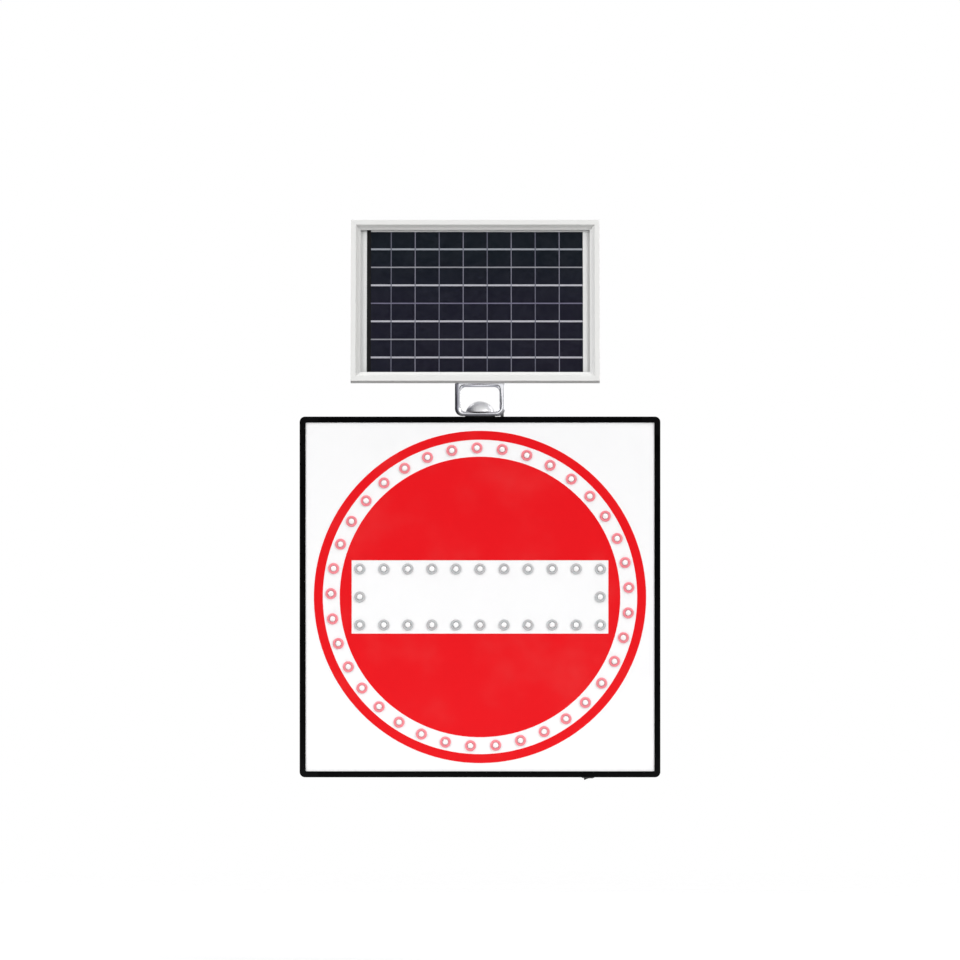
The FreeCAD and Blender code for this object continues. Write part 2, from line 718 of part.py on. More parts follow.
# --------------------------------------------------------------------------
# battery and controller, carried by the hatch
# --------------------------------------------------------------------------
tray = -hatch_gap                    # inner face of the hatch
cradle_base, cradle_wall, cradle_high = 2, 3, 24
divider_half, divider_high = 0.8, 8
cell_z = tray + cradle_base + cell_rad
cell_half = cell_long / 2
cradle_left = cell_first - cell_rad - cradle_wall
cradle_right = cell_first + cell_pitch * 3 + cell_rad + cradle_wall

body = Body("battery_cells", SIGN)
cells = [(cell_first + cell_pitch * k, cell_z) for k in range(4)]
body.pad(body.sketch(-cell_half, "XZ_Plane").circles(cells, cell_rad), cell_long)

body = Body("battery_cradle", SIGN)
cradle_y = cell_half + cradle_wall
body.pad(body.sketch(tray).rect(cradle_left, cradle_right, -cradle_y, cradle_y, 4), cradle_base)
body.pad(body.sketch(tray).rect(cradle_left, cradle_right, cell_half, cradle_y)
         .rect(cradle_left, cradle_right, -cradle_y, -cell_half), cradle_high)
sketch = body.sketch(tray + 1)
for k in range(3):
    middle = cell_first + cell_pitch * (k + 0.5)
    sketch.rect(middle - divider_half, middle + divider_half, -cell_half, cell_half)
body.pad(sketch, divider_high)

case_left, case_right, case_half, case_high = 40, 130, 30, 22


def case_rect(sketch, inset, radius):
    """Rounded rectangle, a given inset inside the controller case's outline."""
    y = case_half - inset
    return sketch.rect(case_left + inset, case_right - inset, -y, y, radius)


body = Body("controller_case", SIGN)
body.pad(case_rect(body.sketch(tray), 0, 4), case_high)
body.cut(case_rect(body.sketch(tray + 2), 2, 2.5), 30)
# pillars under the board
body.pad(body.sketch(tray + 1).circles([(x, y) for x in (48, 122) for y in (-22, 22)], 3), 7)

body = Body("controller_board", SIGN)
body.pad(case_rect(body.sketch(tray + 8), 3, 2), 1.6)
# three rectangular components and a round one
body.pad(body.sketch(tray + 9).rect(60, 78, -10, 10).rect(90, 98, -6, 6)
         .rect(104, 114, 4, 16).circle(112, -12, 5), 5)

body = Body("controller_lid", SIGN)
body.pad(case_rect(body.sketch(tray + case_high), 0, 4), 2)
body.pad(case_rect(case_rect(body.sketch(tray + case_high - 2), 2.2, 2.3), 4, 1.5), 2.1)
body.fillet(lambda edge: at_level(edge, tray.value + case_high + 2), 0.8)

# --------------------------------------------------------------------------
# wiring inside the box
# --------------------------------------------------------------------------
wire_rad = 2.5
lead_start = cradle_right.value - 3
# each run is a list of (x, y, z) corners
LAMP_RUN = [(130, 10, 12), (155, 10, 12), (155, 10, 38), (246, 10, 38), (246, 10, 47.2)]
GLAND_RUN = [(85, 30, 12), (85, 80, 12), (85, 80, 30), (85, gland_y, 30),
             (gland_x, gland_y, 30), (gland_x, gland_y, 14)]
SWITCH_RUN = [(110, -30, 12), (110, -80, 12), (110, -80, 30), (110, -230, 30),
              (switch_x, -230, 30), (switch_x, -286, 30)]
shape_piece("wiring_loom", Part.makeCompound([
    cable(LAMP_RUN, wire_rad, 8),
    Part.makeCylinder(wire_rad, case_left - lead_start,
                      Vector(lead_start, 0, cell_z.value), Vector(1, 0, 0)),
    cable(GLAND_RUN, wire_rad, 7),
    cable(SWITCH_RUN, wire_rad, 7)]), SIGN)

# --------------------------------------------------------------------------
# rocker switch in the underside, its pivot along z
# --------------------------------------------------------------------------
bezel_x, bezel_z = 10.5, 7.5         # half sizes of the switch's flange
flange_high = 2


def switch_sketch(body, half_x, low_y, high_y, half_z):
    """Rectangle about the switch's middle, at the low end of its z span."""
    return body.sketch(switch_z - half_z).rect(
        switch_x - half_x, switch_x + half_x, low_y, high_y)


def flange_edge(edge):
    """Outline edge of the flange's outer face."""
    box = edge.BoundBox
    outer_y = -(half.value + flange_high)
    return (abs(box.YMin - outer_y) < 1e-4 and abs(box.YMax - outer_y) < 1e-4
            and (abs(abs(box.XMin - switch_x) - bezel_x) < 1e-3
                 or abs(abs(box.ZMin - switch_z) - bezel_z) < 1e-3))


body = Body("switch_body", SIGN)
body.pad(switch_sketch(body, bezel_x, -(half + flange_high), -half, bezel_z), 2 * bezel_z)
body.pad(switch_sketch(body, 9.5, -half, -(half - 14), 6.4), 12.8)
body.cut(switch_sketch(body, 8.2, -(half + 3), -(half - 7), 5.0), 10)
body.cut(body.sketch(switch_z - 6.0).circle(switch_x, -half, 1.06), 12)
body.fillet(flange_edge, 0.8)

rocker_tilt = math.radians(-11.0)
# (x from the pivot, distance outward from the box's underside), before the tilt
ROCKER = [(-7.2, 4.4), (-3.6, 3.3), (0, 2.9), (3.6, 3.3), (7.2, 4.4),
          (7.2, 0.5), (3, -4), (-3, -4), (-7.2, 0.5)]


def rocked(x, outward):
    """Rocker outline point, pressed down at its -X end."""
    turned_x = x * math.cos(rocker_tilt) - outward * math.sin(rocker_tilt)
    turned_out = x * math.sin(rocker_tilt) + outward * math.cos(rocker_tilt)
    return switch_x + turned_x, -half - turned_out


body = Body("switch_rocker", SIGN)
body.pad(body.sketch(switch_z - 4.8).poly([rocked(*point) for point in ROCKER]), 9.6)
body.pad(body.sketch(switch_z - 5.9).circle(switch_x, -half, 1.0), 11.8)

# --------------------------------------------------------------------------
# cable gland in the back
# --------------------------------------------------------------------------
gland_flats, gland_rad, gland_bore = 18, 6.0, 2.8
gland_end = -20                      # outer end of the compression nut

body = Body("cable_gland", SIGN)
body.pad(body.sketch(-3).hexagon(gland_x, gland_y, gland_flats), 3)
body.pad(body.sketch(-10).circle(gland_x, gland_y, 7.5), 7)
body.pad(body.sketch(-0.5).circle(gland_x, gland_y, gland_rad), 10.5)
body.cut(body.sketch(-12).circle(gland_x, gland_y, gland_bore), 30)

# outer compression nut and inner lock nut
body = Body("gland_nut", SIGN)
body.pad(body.sketch(gland_end).nuts([(gland_x, gland_y)], gland_flats, gland_bore), 10)
body.pad(body.sketch(plate_thick).nuts([(gland_x, gland_y)], 17, gland_rad), 4)
# the six straight edges only: the bore's circle is longer than 15
body.chamfer(lambda edge: at_level(edge, gland_end) and 5 < edge.Length < 15, 0.8)

# --------------------------------------------------------------------------
# mounting rails: slotted channels across the back
# --------------------------------------------------------------------------
body = Body("mounting_rails", SIGN)
sketch = body.sketch(0, "YZ_Plane")
slot_half = rail_slot / 2
rail_inner = -rail_deep + rail_sheet
for side in (1, -1):
    centre = rail_lift * side
    low, high = centre - rail_high / 2, centre + rail_high / 2
    sketch.poly([
        (low, 0), (low, -rail_deep, 2.0), (centre - slot_half, -rail_deep),
        (centre - slot_half, rail_inner), (low + rail_sheet, rail_inner),
        (low + rail_sheet, -rail_sheet), (high - rail_sheet, -rail_sheet),
        (high - rail_sheet, rail_inner), (centre + slot_half, rail_inner),
        (centre + slot_half, -rail_deep), (high, -rail_deep, 2.0), (high, 0)])
body.pad(sketch, rail_long, mid=True)
body.cut(body.sketch(-4).circles(rivets, rivet_rad), 6)

rivet_head_high = 1.4
rivet_low = -rail_sheet - rivet_head_high
body = Body("rail_rivets", SIGN)
body.pad(body.sketch(rivet_low).circles(rivets, 4.4), rivet_head_high)
body.pad(body.sketch(-2.5).circles(rivets, rivet_rad), 5)
body.pad(body.sketch(plate_thick).circles(rivets, 3.6), 1.2)
body.fillet(lambda edge: at_level(edge, rivet_low.value), 1.0)

# --------------------------------------------------------------------------
# post clamps: saddles on the sign's side of the post, straps behind it
# --------------------------------------------------------------------------
clamp_levels = (as_length(0), rail_lift * 2)
clamp_bolts = [(x, z) for z in clamp_levels for x in (clamp_bolt_x, -clamp_bolt_x)]
foot_half = 25                       # pad of the saddle against the rail
foot = -box_back - rail_deep         # rail's rear face stands this far ahead of the post axis
nut_seat = clamp_ear_y + clamp_ear_thick
m8_flats, m8_head, m8_nut = 13, 5.3, 6.5
nut_clear = 0.02

for label, side in (("clamp_saddles", -1), ("clamp_straps", 1)):
    body = Body(label, WORLD)
    for z in clamp_levels:
        body.pad(body.sketch(z - clamp_high / 2).circle(0, 0, post_rad + clamp_wall),
                 clamp_high)
    for z in clamp_levels:
        low = z - clamp_high / 2
        body.pad(body.sketch(low).rect(-clamp_ear_x, clamp_ear_x, clamp_ear_y * side,
                                       nut_seat * side, 2), clamp_high)
        if side < 0:
            body.pad(body.sketch(low).rect(-foot_half, foot_half, -foot, -20), clamp_high)
    body.cut(body.sketch(-clamp_high).circle(0, 0, post_rad), 500)
    # everything past the parting face goes
    body.cut(body.sketch(-clamp_high).rect(-80, 80, -80 * side, clamp_ear_y * side), 500)
    body.cut(body.sketch(0, "XZ_Plane").circles(clamp_bolts, m8_rad + 0.2), 40, mid=True)

# heads inside the rails, nuts behind the straps
head_seat = foot + rail_sheet
body = Body("clamp_bolts", WORLD)
body.pad(body.sketch(head_seat, "XZ_Plane").hexagons(clamp_bolts, m8_flats), m8_head)
body.pad(body.sketch(-18, "XZ_Plane").circles(clamp_bolts, m8_rad), head_seat + 18.5)
body.pad(body.sketch(-(nut_seat + m8_nut), "XZ_Plane")
         .nuts(clamp_bolts, m8_flats, m8_rad + nut_clear), m8_nut)

# --------------------------------------------------------------------------
# swivel joint between box and loop bracket
# --------------------------------------------------------------------------
m12_flats, m12_head, m12_flange = 18, 7.5, 2.5
bolt_low = -20

body = Body("swivel_washer", LOOP)
body.pad(body.sketch(0).circle(0, 0, washer_rad).circle(0, 0, swivel_hole), washer_thick)

body = Body("load_plate", SIGN)
body.pad(body.sketch(8).rect(-40, 40, half - 6, half - 2), 41)
body.cut(body.sketch(-(half - 1), "XZ_Plane").circle(0, swivel_z, swivel_clear), 8)

body = Body("swivel_bolt", LOOP)
head_top = web_top + m12_flange + m12_head
body.pad(body.sketch(web_top).circle(0, 0, 12), m12_flange)
body.pad(body.sketch(web_top + m12_flange).hexagon(0, 0, m12_flats), m12_head)
body.pad(body.sketch(bolt_low).circle(0, 0, m12_rad), web_top - bolt_low + 0.5)
body.pad(body.sketch(-16).nuts([(0, 0)], m12_flats, m12_rad + nut_clear), 10)
body.chamfer(lambda edge: at_level(edge, head_top.value), 0.8)


def dome_cap():
    """A thin spherical shell on the bottom web."""
    rise = cap_high.value
    radius = (cap_rad.value ** 2 + rise ** 2) / (2 * rise)
    centre = Vector(0, 0, web_top.value + rise - radius)
    shell = Part.makeSphere(radius, centre).cut(
        Part.makeSphere(radius - cap_wall.value, centre))
    above_web = Part.makeCylinder(40, 40, Vector(0, 0, web_top.value))
    return shell.common(above_web)


shape_piece("dome_cap", dome_cap(), LOOP)

# --------------------------------------------------------------------------
# loop bracket: a cast loop with two tilt ears
# --------------------------------------------------------------------------
loop_front = loop_deep / 2
body = Body("loop_bracket", LOOP_UP)
sketch = body.sketch(-loop_front)
sketch.poly([(-loop_half, washer_thick, loop_outer_rad),
             (loop_half, washer_thick, loop_outer_rad),
             (loop_half, loop_top, loop_shoulder), (-loop_half, loop_top, loop_shoulder)])
sketch.rect(-hole_half, hole_half, web_top, hole_top, loop_inner_rad)
body.pad(sketch, loop_deep)
body.fillet(lambda edge: at_level(edge, loop_front.value)
            or at_level(edge, -loop_front.value), loop_round)
for level in (ear_in, -ear_out):
    body.pad(body.sketch(level, "YZ_Plane").rect(loop_top - 4, tilt_z, -ear_rad, ear_rad),
             ear_out - ear_in)
    body.pad(body.sketch(level, "YZ_Plane").circle(tilt_z, 0, ear_rad), ear_out - ear_in)
body.cut(body.sketch(0, "YZ_Plane").circle(tilt_z, 0, m8_rad), 80, mid=True)
body.cut(body.sketch(-0.5, "XZ_Plane").circle(0, 0, swivel_hole), 12, ahead=False)

# clip on the rear of the loop
cable_rad = 2.75
clip_x, clip_y = 37.2, 23.4
clip_low, clip_high = 30, 10
body = Body("cable_clip", LOOP)
body.pad(body.sketch(clip_low).rect(clip_x - 4, clip_x + 4, loop_front, clip_y + 4.2, 2.5),
         clip_high)
body.cut(body.sketch(clip_low - 2).circle(clip_x, clip_y, cable_rad), 14)

body = Body("tilt_bolt", LOOP_UP)
grip = bracket_half + 0.05           # head and nut stand just clear of the bracket cheeks
body.pad(body.sketch(-(grip + m8_head), "YZ_Plane").hexagon(tilt_z, 0, m8_flats), m8_head)
body.pad(body.sketch(-(grip + 0.5), "YZ_Plane").circle(tilt_z, 0, m8_rad), grip * 2 + 9.5)
body.pad(body.sketch(grip, "YZ_Plane")
         .nuts([(tilt_z, 0)], m8_flats, m8_rad + nut_clear), m8_nut)

# --------------------------------------------------------------------------
# solar panel frame
# --------------------------------------------------------------------------
lower_rivets = [(x, panel_bottom + 6) for x in (-15, 15)]
upper_rivets = [(x, panel_top - 9) for x in (-15, 15)]
strut_rivets = lower_rivets + upper_rivets
rim_wall = 1.5
shelf_low = backsheet_rear - 1.2     # rear of the shelf that carries the backsheet

# Section of a frame member: (in from the outer face, z)
RIM_SECTION = [
    (0, panel_rear), (18, panel_rear), (18, panel_rear + 1.5), (rim_wall, panel_rear + 1.5),
    (rim_wall, shelf_low), (12, shelf_low), (12, backsheet_rear), (rim_wall, backsheet_rear),
    (rim_wall, glass_front), (16, glass_front), (16, glass_front + 1),
    (12, glass_front + 2), (8, panel_front), (0, panel_front)]


def panel_member(label, level_member, edge, inward):
    """Mitred member; edge is its outer face and inward the sign toward the middle."""
    body = Body(label, PANEL)
    section = [(edge + u * inward, z) for u, z in RIM_SECTION]
    if level_member:
        body.pad(body.sketch(panel_left, "YZ_Plane").poly(section), panel_right - panel_left)
        ends = ((panel_left, 1), (panel_right, -1))
    else:
        body.pad(body.sketch(-panel_top, "XZ_Plane").poly(section), panel_top - panel_bottom)
        ends = ((panel_bottom, 1), (panel_top, -1))
    sketch = body.sketch(20)
    for end, step in ends:
        # triangle as (across the member, along it)
        mitre = [(edge - inward, end - step), (edge + 20 * inward, end + 20 * step)]
        if level_member:
            mitre.append((edge + 20 * inward, end - step))
            mitre = [(x, y) for y, x in mitre]
        else:
            mitre.append((edge + 20 * inward, end - step))
        sketch.poly(mitre)
    body.cut(sketch, 40)
    return body


body = panel_member("panel_frame_bottom", True, panel_bottom, 1)
body.cut(body.sketch(22).circles(lower_rivets, rivet_rad), 6)
body = panel_member("panel_frame_top", True, panel_top, -1)
body.cut(body.sketch(22).circles(upper_rivets, rivet_rad), 6)
panel_member("panel_frame_left", False, panel_left, 1)
panel_member("panel_frame_right", False, panel_right, -1)

# L-shaped keys inside the corners: (x, y) in from the panel's outer faces
KEY = [(1.6, 1.6), (34, 1.6), (34, 9.6), (9.6, 9.6), (9.6, 34), (1.6, 34)]
key_low = panel_rear + 1.6
body = Body("frame_keys", PANEL)
sketch = body.sketch(key_low)
for corner_x, side_x in ((panel_left, 1), (panel_right, -1)):
    for corner_y, side_y in ((panel_bottom, 1), (panel_top, -1)):
        sketch.poly([(corner_x + x * side_x, corner_y + y * side_y) for x, y in KEY])
body.pad(sketch, shelf_low - 0.1 - key_low)

# --------------------------------------------------------------------------
# glass, backsheet and cells
# --------------------------------------------------------------------------
for label, level, thick in (("panel_glass", glass_rear, glass_front - glass_rear),
                            ("backsheet", backsheet_rear, backsheet_thick)):
    body = Body(label, PANEL)
    body.pad(body.sketch(level).rect(panel_left + 3, panel_right - 3,
                                     panel_bottom + 3, panel_top - 3, 1.5), thick)

columns, rows = 9, 4
cells_rear = backsheet_rear + backsheet_thick
cells_front = cells_rear + solar_thick
cells_left = solar_centre_x - solar_pitch_x * (columns / 2)
cells_right = solar_centre_x + solar_pitch_x * (columns / 2)
cells_low = solar_centre_y - solar_pitch_y * (rows / 2)
cells_high = solar_centre_y + solar_pitch_y * (rows / 2)


def column_gaps(sketch, half_gap):
    """Upright strips between the columns of cells."""
    for k in range(1, columns):
        x = cells_left + solar_pitch_x * k
        sketch.rect(x - half_gap, x + half_gap, cells_low - 5, cells_high + 5)
    return sketch


half_gap_x, half_gap_y = solar_gap_x / 2, solar_gap_y / 2
body = Body("solar_cells", PANEL)
body.pad(body.sketch(cells_rear).rect(cells_left + half_gap_x, cells_right - half_gap_x,
                                      cells_low + half_gap_y, cells_high - half_gap_y),
         solar_thick)
body.cut(column_gaps(body.sketch(cells_rear - 1), half_gap_x), 3)
sketch = body.sketch(cells_rear - 1)
for k in range(1, rows):
    y = cells_low + solar_pitch_y * k
    sketch.rect(cells_left - 5, cells_right + 5, y - half_gap_y, y + half_gap_y)
body.cut(sketch, 3)

body = Body("cell_ribbons", PANEL)
sketch = body.sketch(cells_front)
for k in range(rows):
    y = cells_low + solar_pitch_y * (k + 0.5)
    sketch.rect(cells_left + 1.2, cells_right - 1.2, y - ribbon_wide / 2, y + ribbon_wide / 2)
body.pad(sketch, ribbon_thick)
body.cut(column_gaps(body.sketch(cells_rear - 1), 1.0), 3)

# thin upright strip over the left edge of the cells
body = Body("string_cover", PANEL)
body.pad(body.sketch(cells_front + ribbon_thick).rect(
    cells_left - 0.3, cells_left + 6.4, panel_bottom + 6, panel_top - 6), 0.12)

# --------------------------------------------------------------------------
# junction box on the rear of the panel
# --------------------------------------------------------------------------
junction_left, junction_right, junction_low, junction_high = 40, 105, 150, 220
junction_deep, junction_lid = 18, 2
entry_x, entry_z = 72, 25.2          # cable entry in the lower wall
junction_rear = backsheet_rear - junction_deep


def junction_rect(sketch, inset, radius):
    return sketch.rect(junction_left + inset, junction_right - inset,
                       junction_low + inset, junction_high - inset, radius)


body = Body("junction_box", PANEL)
body.pad(junction_rect(body.sketch(junction_rear), 0, 5), junction_deep)
body.cut(junction_rect(body.sketch(junction_rear - 1), 2, 3), 17)
body.pad(body.sketch(-junction_low, "XZ_Plane").circle(entry_x, entry_z, 6), 9)
body.cut(body.sketch(-junction_low - 4, "XZ_Plane").circle(entry_x, entry_z, cable_rad), 30)

body = Body("junction_lid", PANEL)
lid_rear = junction_rear - junction_lid
body.pad(junction_rect(body.sketch(lid_rear), 0, 5), junction_lid)
body.pad(junction_rect(junction_rect(body.sketch(junction_rear - 0.2), 2.2, 2.8), 4, 2), 2)
body.fillet(lambda edge: at_level(edge, lid_rear.value), 0.9)

# --------------------------------------------------------------------------
# strut, tilt bracket and their fasteners
# --------------------------------------------------------------------------
bracket_thick = 3
strut_rear = panel_rear - strut_thick
bracket_rear = strut_rear - bracket_thick
strut_bolts = [(-12, 32), (12, 32), (-12, 56), (12, 56)]
m6_rad, m6_flats, m6_head, m6_nut = 3.0, 10, 4, 5

body = Body("panel_strut", PANEL)
body.pad(body.sketch(strut_rear).rect(-20, 20, panel_bottom, panel_top), strut_thick)
body.cut(body.sketch(strut_rear - 1).circles(strut_rivets, rivet_rad), 6)
body.cut(body.sketch(strut_rear - 1).circles(strut_bolts, m6_rad), 6)

# outline of a cheek: (y, z)
CHEEK = [(-ear_rad, strut_rear - 2), (-ear_rad, 0), (ear_rad, 0),
         (24, bracket_rear), (24, strut_rear - 2)]
body = Body("tilt_bracket", PANEL)
body.pad(body.sketch(bracket_rear).rect(-bracket_half, bracket_half, -6, 66), bracket_thick)
for level in (bracket_half - bracket_thick, -bracket_half):
    body.pad(body.sketch(level, "YZ_Plane").poly(CHEEK), bracket_thick)
    body.pad(body.sketch(level, "YZ_Plane").circle(0, 0, ear_rad), bracket_thick)
body.cut(body.sketch(0, "YZ_Plane").circle(0, 0, tilt_hole), 80, mid=True)
body.cut(body.sketch(strut_rear - 4).circles(strut_bolts, m6_rad), 6)

body = Body("panel_bolts", PANEL)
# rivets: rear head, shank, front head
body.pad(body.sketch(strut_rear - 1.3).circles(strut_rivets, 3.8), 1.3)
body.pad(body.sketch(strut_rear - 0.5).circles(strut_rivets, rivet_rad), 5.0)
body.pad(body.sketch(panel_rear + 1.5).circles(strut_rivets, 3.4), 1.0)
# bolts: head, shank, nut
body.pad(body.sketch(bracket_rear - m6_head).hexagons(strut_bolts, m6_flats), m6_head)
body.pad(body.sketch(bracket_rear - 0.5).circles(strut_bolts, m6_rad), 11)
body.pad(body.sketch(panel_rear).nuts(strut_bolts, m6_flats, m6_rad + nut_clear), m6_nut)

# --------------------------------------------------------------------------
# supply cable from the panel to the box, in two lengths that meet at the clip
# --------------------------------------------------------------------------
cable_bend = 9
hang_y = -18                         # world Y of the upright run behind the box
gland_z = box_mid.value + gland_y
clip_world_y = loop_y.value + clip_y
clip_world_low = loop_z.value + clip_low
clip_world_top = clip_world_low + clip_high
lean = math.radians(panel_turn.value)


def on_panel(x, y, z):
    """World point of a point given in the PANEL frame."""
    return (x, loop_y.value + y * math.cos(lean) - z * math.sin(lean),
            (loop_z + tilt_z).value + y * math.sin(lean) + z * math.cos(lean))


shape_piece("cable_lower", cable([
    (gland_x, box_back.value - 14, gland_z), (gland_x, hang_y, gland_z),
    (gland_x, hang_y, 466), (clip_x, clip_world_y, clip_world_low - 10),
    (clip_x, clip_world_y, clip_world_top)], cable_rad, cable_bend), WORLD)

shape_piece("cable_upper", cable([
    (clip_x, clip_world_y, clip_world_top), (clip_x, clip_world_y, 548),
    on_panel(60, 90, 4), on_panel(entry_x, 120, entry_z),
    on_panel(entry_x, 160, entry_z)], cable_rad, cable_bend), WORLD)

# --------------------------------------------------------------------------
# check everything, then write one STEP file for each sub-part
# --------------------------------------------------------------------------
doc.recompute()
faults = []
for item in doc.Objects:
    for state in item.State:
        if "Invalid" in state or "Error" in state:
            faults.append("%s %s" % (item.Label, state))
for piece in pieces:
    if piece.Shape.isNull() or not piece.Shape.isValid():
        faults.append("%s: shape null or not valid" % piece.Label)
    elif not piece.Shape.Solids:
        faults.append("%s: no solid" % piece.Label)
if faults:
    raise RuntimeError("; ".join(faults))

os.makedirs("parts", exist_ok=True)
for piece in pieces:
    piece.Shape.exportStep(os.path.join("parts", piece.Label + ".step"))
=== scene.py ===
"""Solar-powered lamp sign: a boxed sign with a ring and a bar of lamps, a cast loop bracket on its
top and a solar panel tilted on the loop.

Row frame: metres, x to the right seen from the front, z up, the front facing -Y.
Sizes of turned and cast pieces are in millimetres; on_sign, on_panel and on_loop convert them.
"""
import bpy, bmesh, json, math
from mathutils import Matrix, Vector


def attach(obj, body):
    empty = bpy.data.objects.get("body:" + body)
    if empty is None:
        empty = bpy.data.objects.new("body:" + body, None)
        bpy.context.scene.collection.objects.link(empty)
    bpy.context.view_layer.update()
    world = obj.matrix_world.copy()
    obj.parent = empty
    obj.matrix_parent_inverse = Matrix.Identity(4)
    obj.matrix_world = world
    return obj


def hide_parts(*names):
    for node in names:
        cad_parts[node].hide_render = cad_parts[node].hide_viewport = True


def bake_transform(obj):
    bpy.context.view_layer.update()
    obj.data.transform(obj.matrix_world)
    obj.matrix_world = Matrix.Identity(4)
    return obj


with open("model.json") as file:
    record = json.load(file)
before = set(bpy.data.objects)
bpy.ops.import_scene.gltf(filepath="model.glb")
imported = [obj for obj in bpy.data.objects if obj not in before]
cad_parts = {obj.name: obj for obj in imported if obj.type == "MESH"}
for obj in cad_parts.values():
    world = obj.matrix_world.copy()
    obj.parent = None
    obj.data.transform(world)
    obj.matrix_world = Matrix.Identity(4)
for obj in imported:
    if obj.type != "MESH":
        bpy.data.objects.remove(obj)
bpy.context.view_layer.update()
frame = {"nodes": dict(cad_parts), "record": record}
cad_nodes = frame["nodes"]

# ---------------------------------------------------------------------------
# driving dimensions
# ---------------------------------------------------------------------------
# row frame, metres
SIGN_Y, SIGN_Z = -0.054, 0.170      # outer face of the back plate, middle of the face
AXIS_Y = -0.084                     # vertical axis of the loop
TOP_Z = 0.470                       # top of the sign box
PIVOT_UP = 69                       # tilt pivot above the box top, mm
TILT_Z = TOP_Z + PIVOT_UP / 1000
LEAN = math.radians(80.0)           # panel slope from level
COS_LEAN, SIN_LEAN = math.cos(LEAN), math.sin(LEAN)

# solar panel, millimetres in its own frame
PANEL_LEFT, PANEL_RIGHT, PANEL_BOTTOM, PANEL_TOP = -215.0, 199.0, -18.0, 255.0
CELL_WIDTH, CELL_HEIGHT = 40.0, 61.2
FIELD_X, FIELD_Y = -8.0, 115.4      # middle of a field of nine by four cells
FIELD_LEFT = FIELD_X - 4.5 * CELL_WIDTH
FIELD_BOTTOM = FIELD_Y - 2 * CELL_HEIGHT


def on_sign(x, y, z):
    """Millimetres on the sign (x right, y up, z out of the face) to the row frame."""
    return Vector((x / 1000, SIGN_Y - z / 1000, SIGN_Z + y / 1000))


def on_panel(x, y, z):
    """Millimetres on the panel (x right, y up the slope, z out of its face) to the row frame."""
    return Vector((x / 1000, AXIS_Y + (y * COS_LEAN - z * SIN_LEAN) / 1000,
                   TILT_Z + (y * SIN_LEAN + z * COS_LEAN) / 1000))


def on_loop(x, forward, up):
    """Millimetres from the loop's axis at the box top to the row frame."""
    return Vector((x / 1000, AXIS_Y - forward / 1000, TOP_Z + up / 1000))


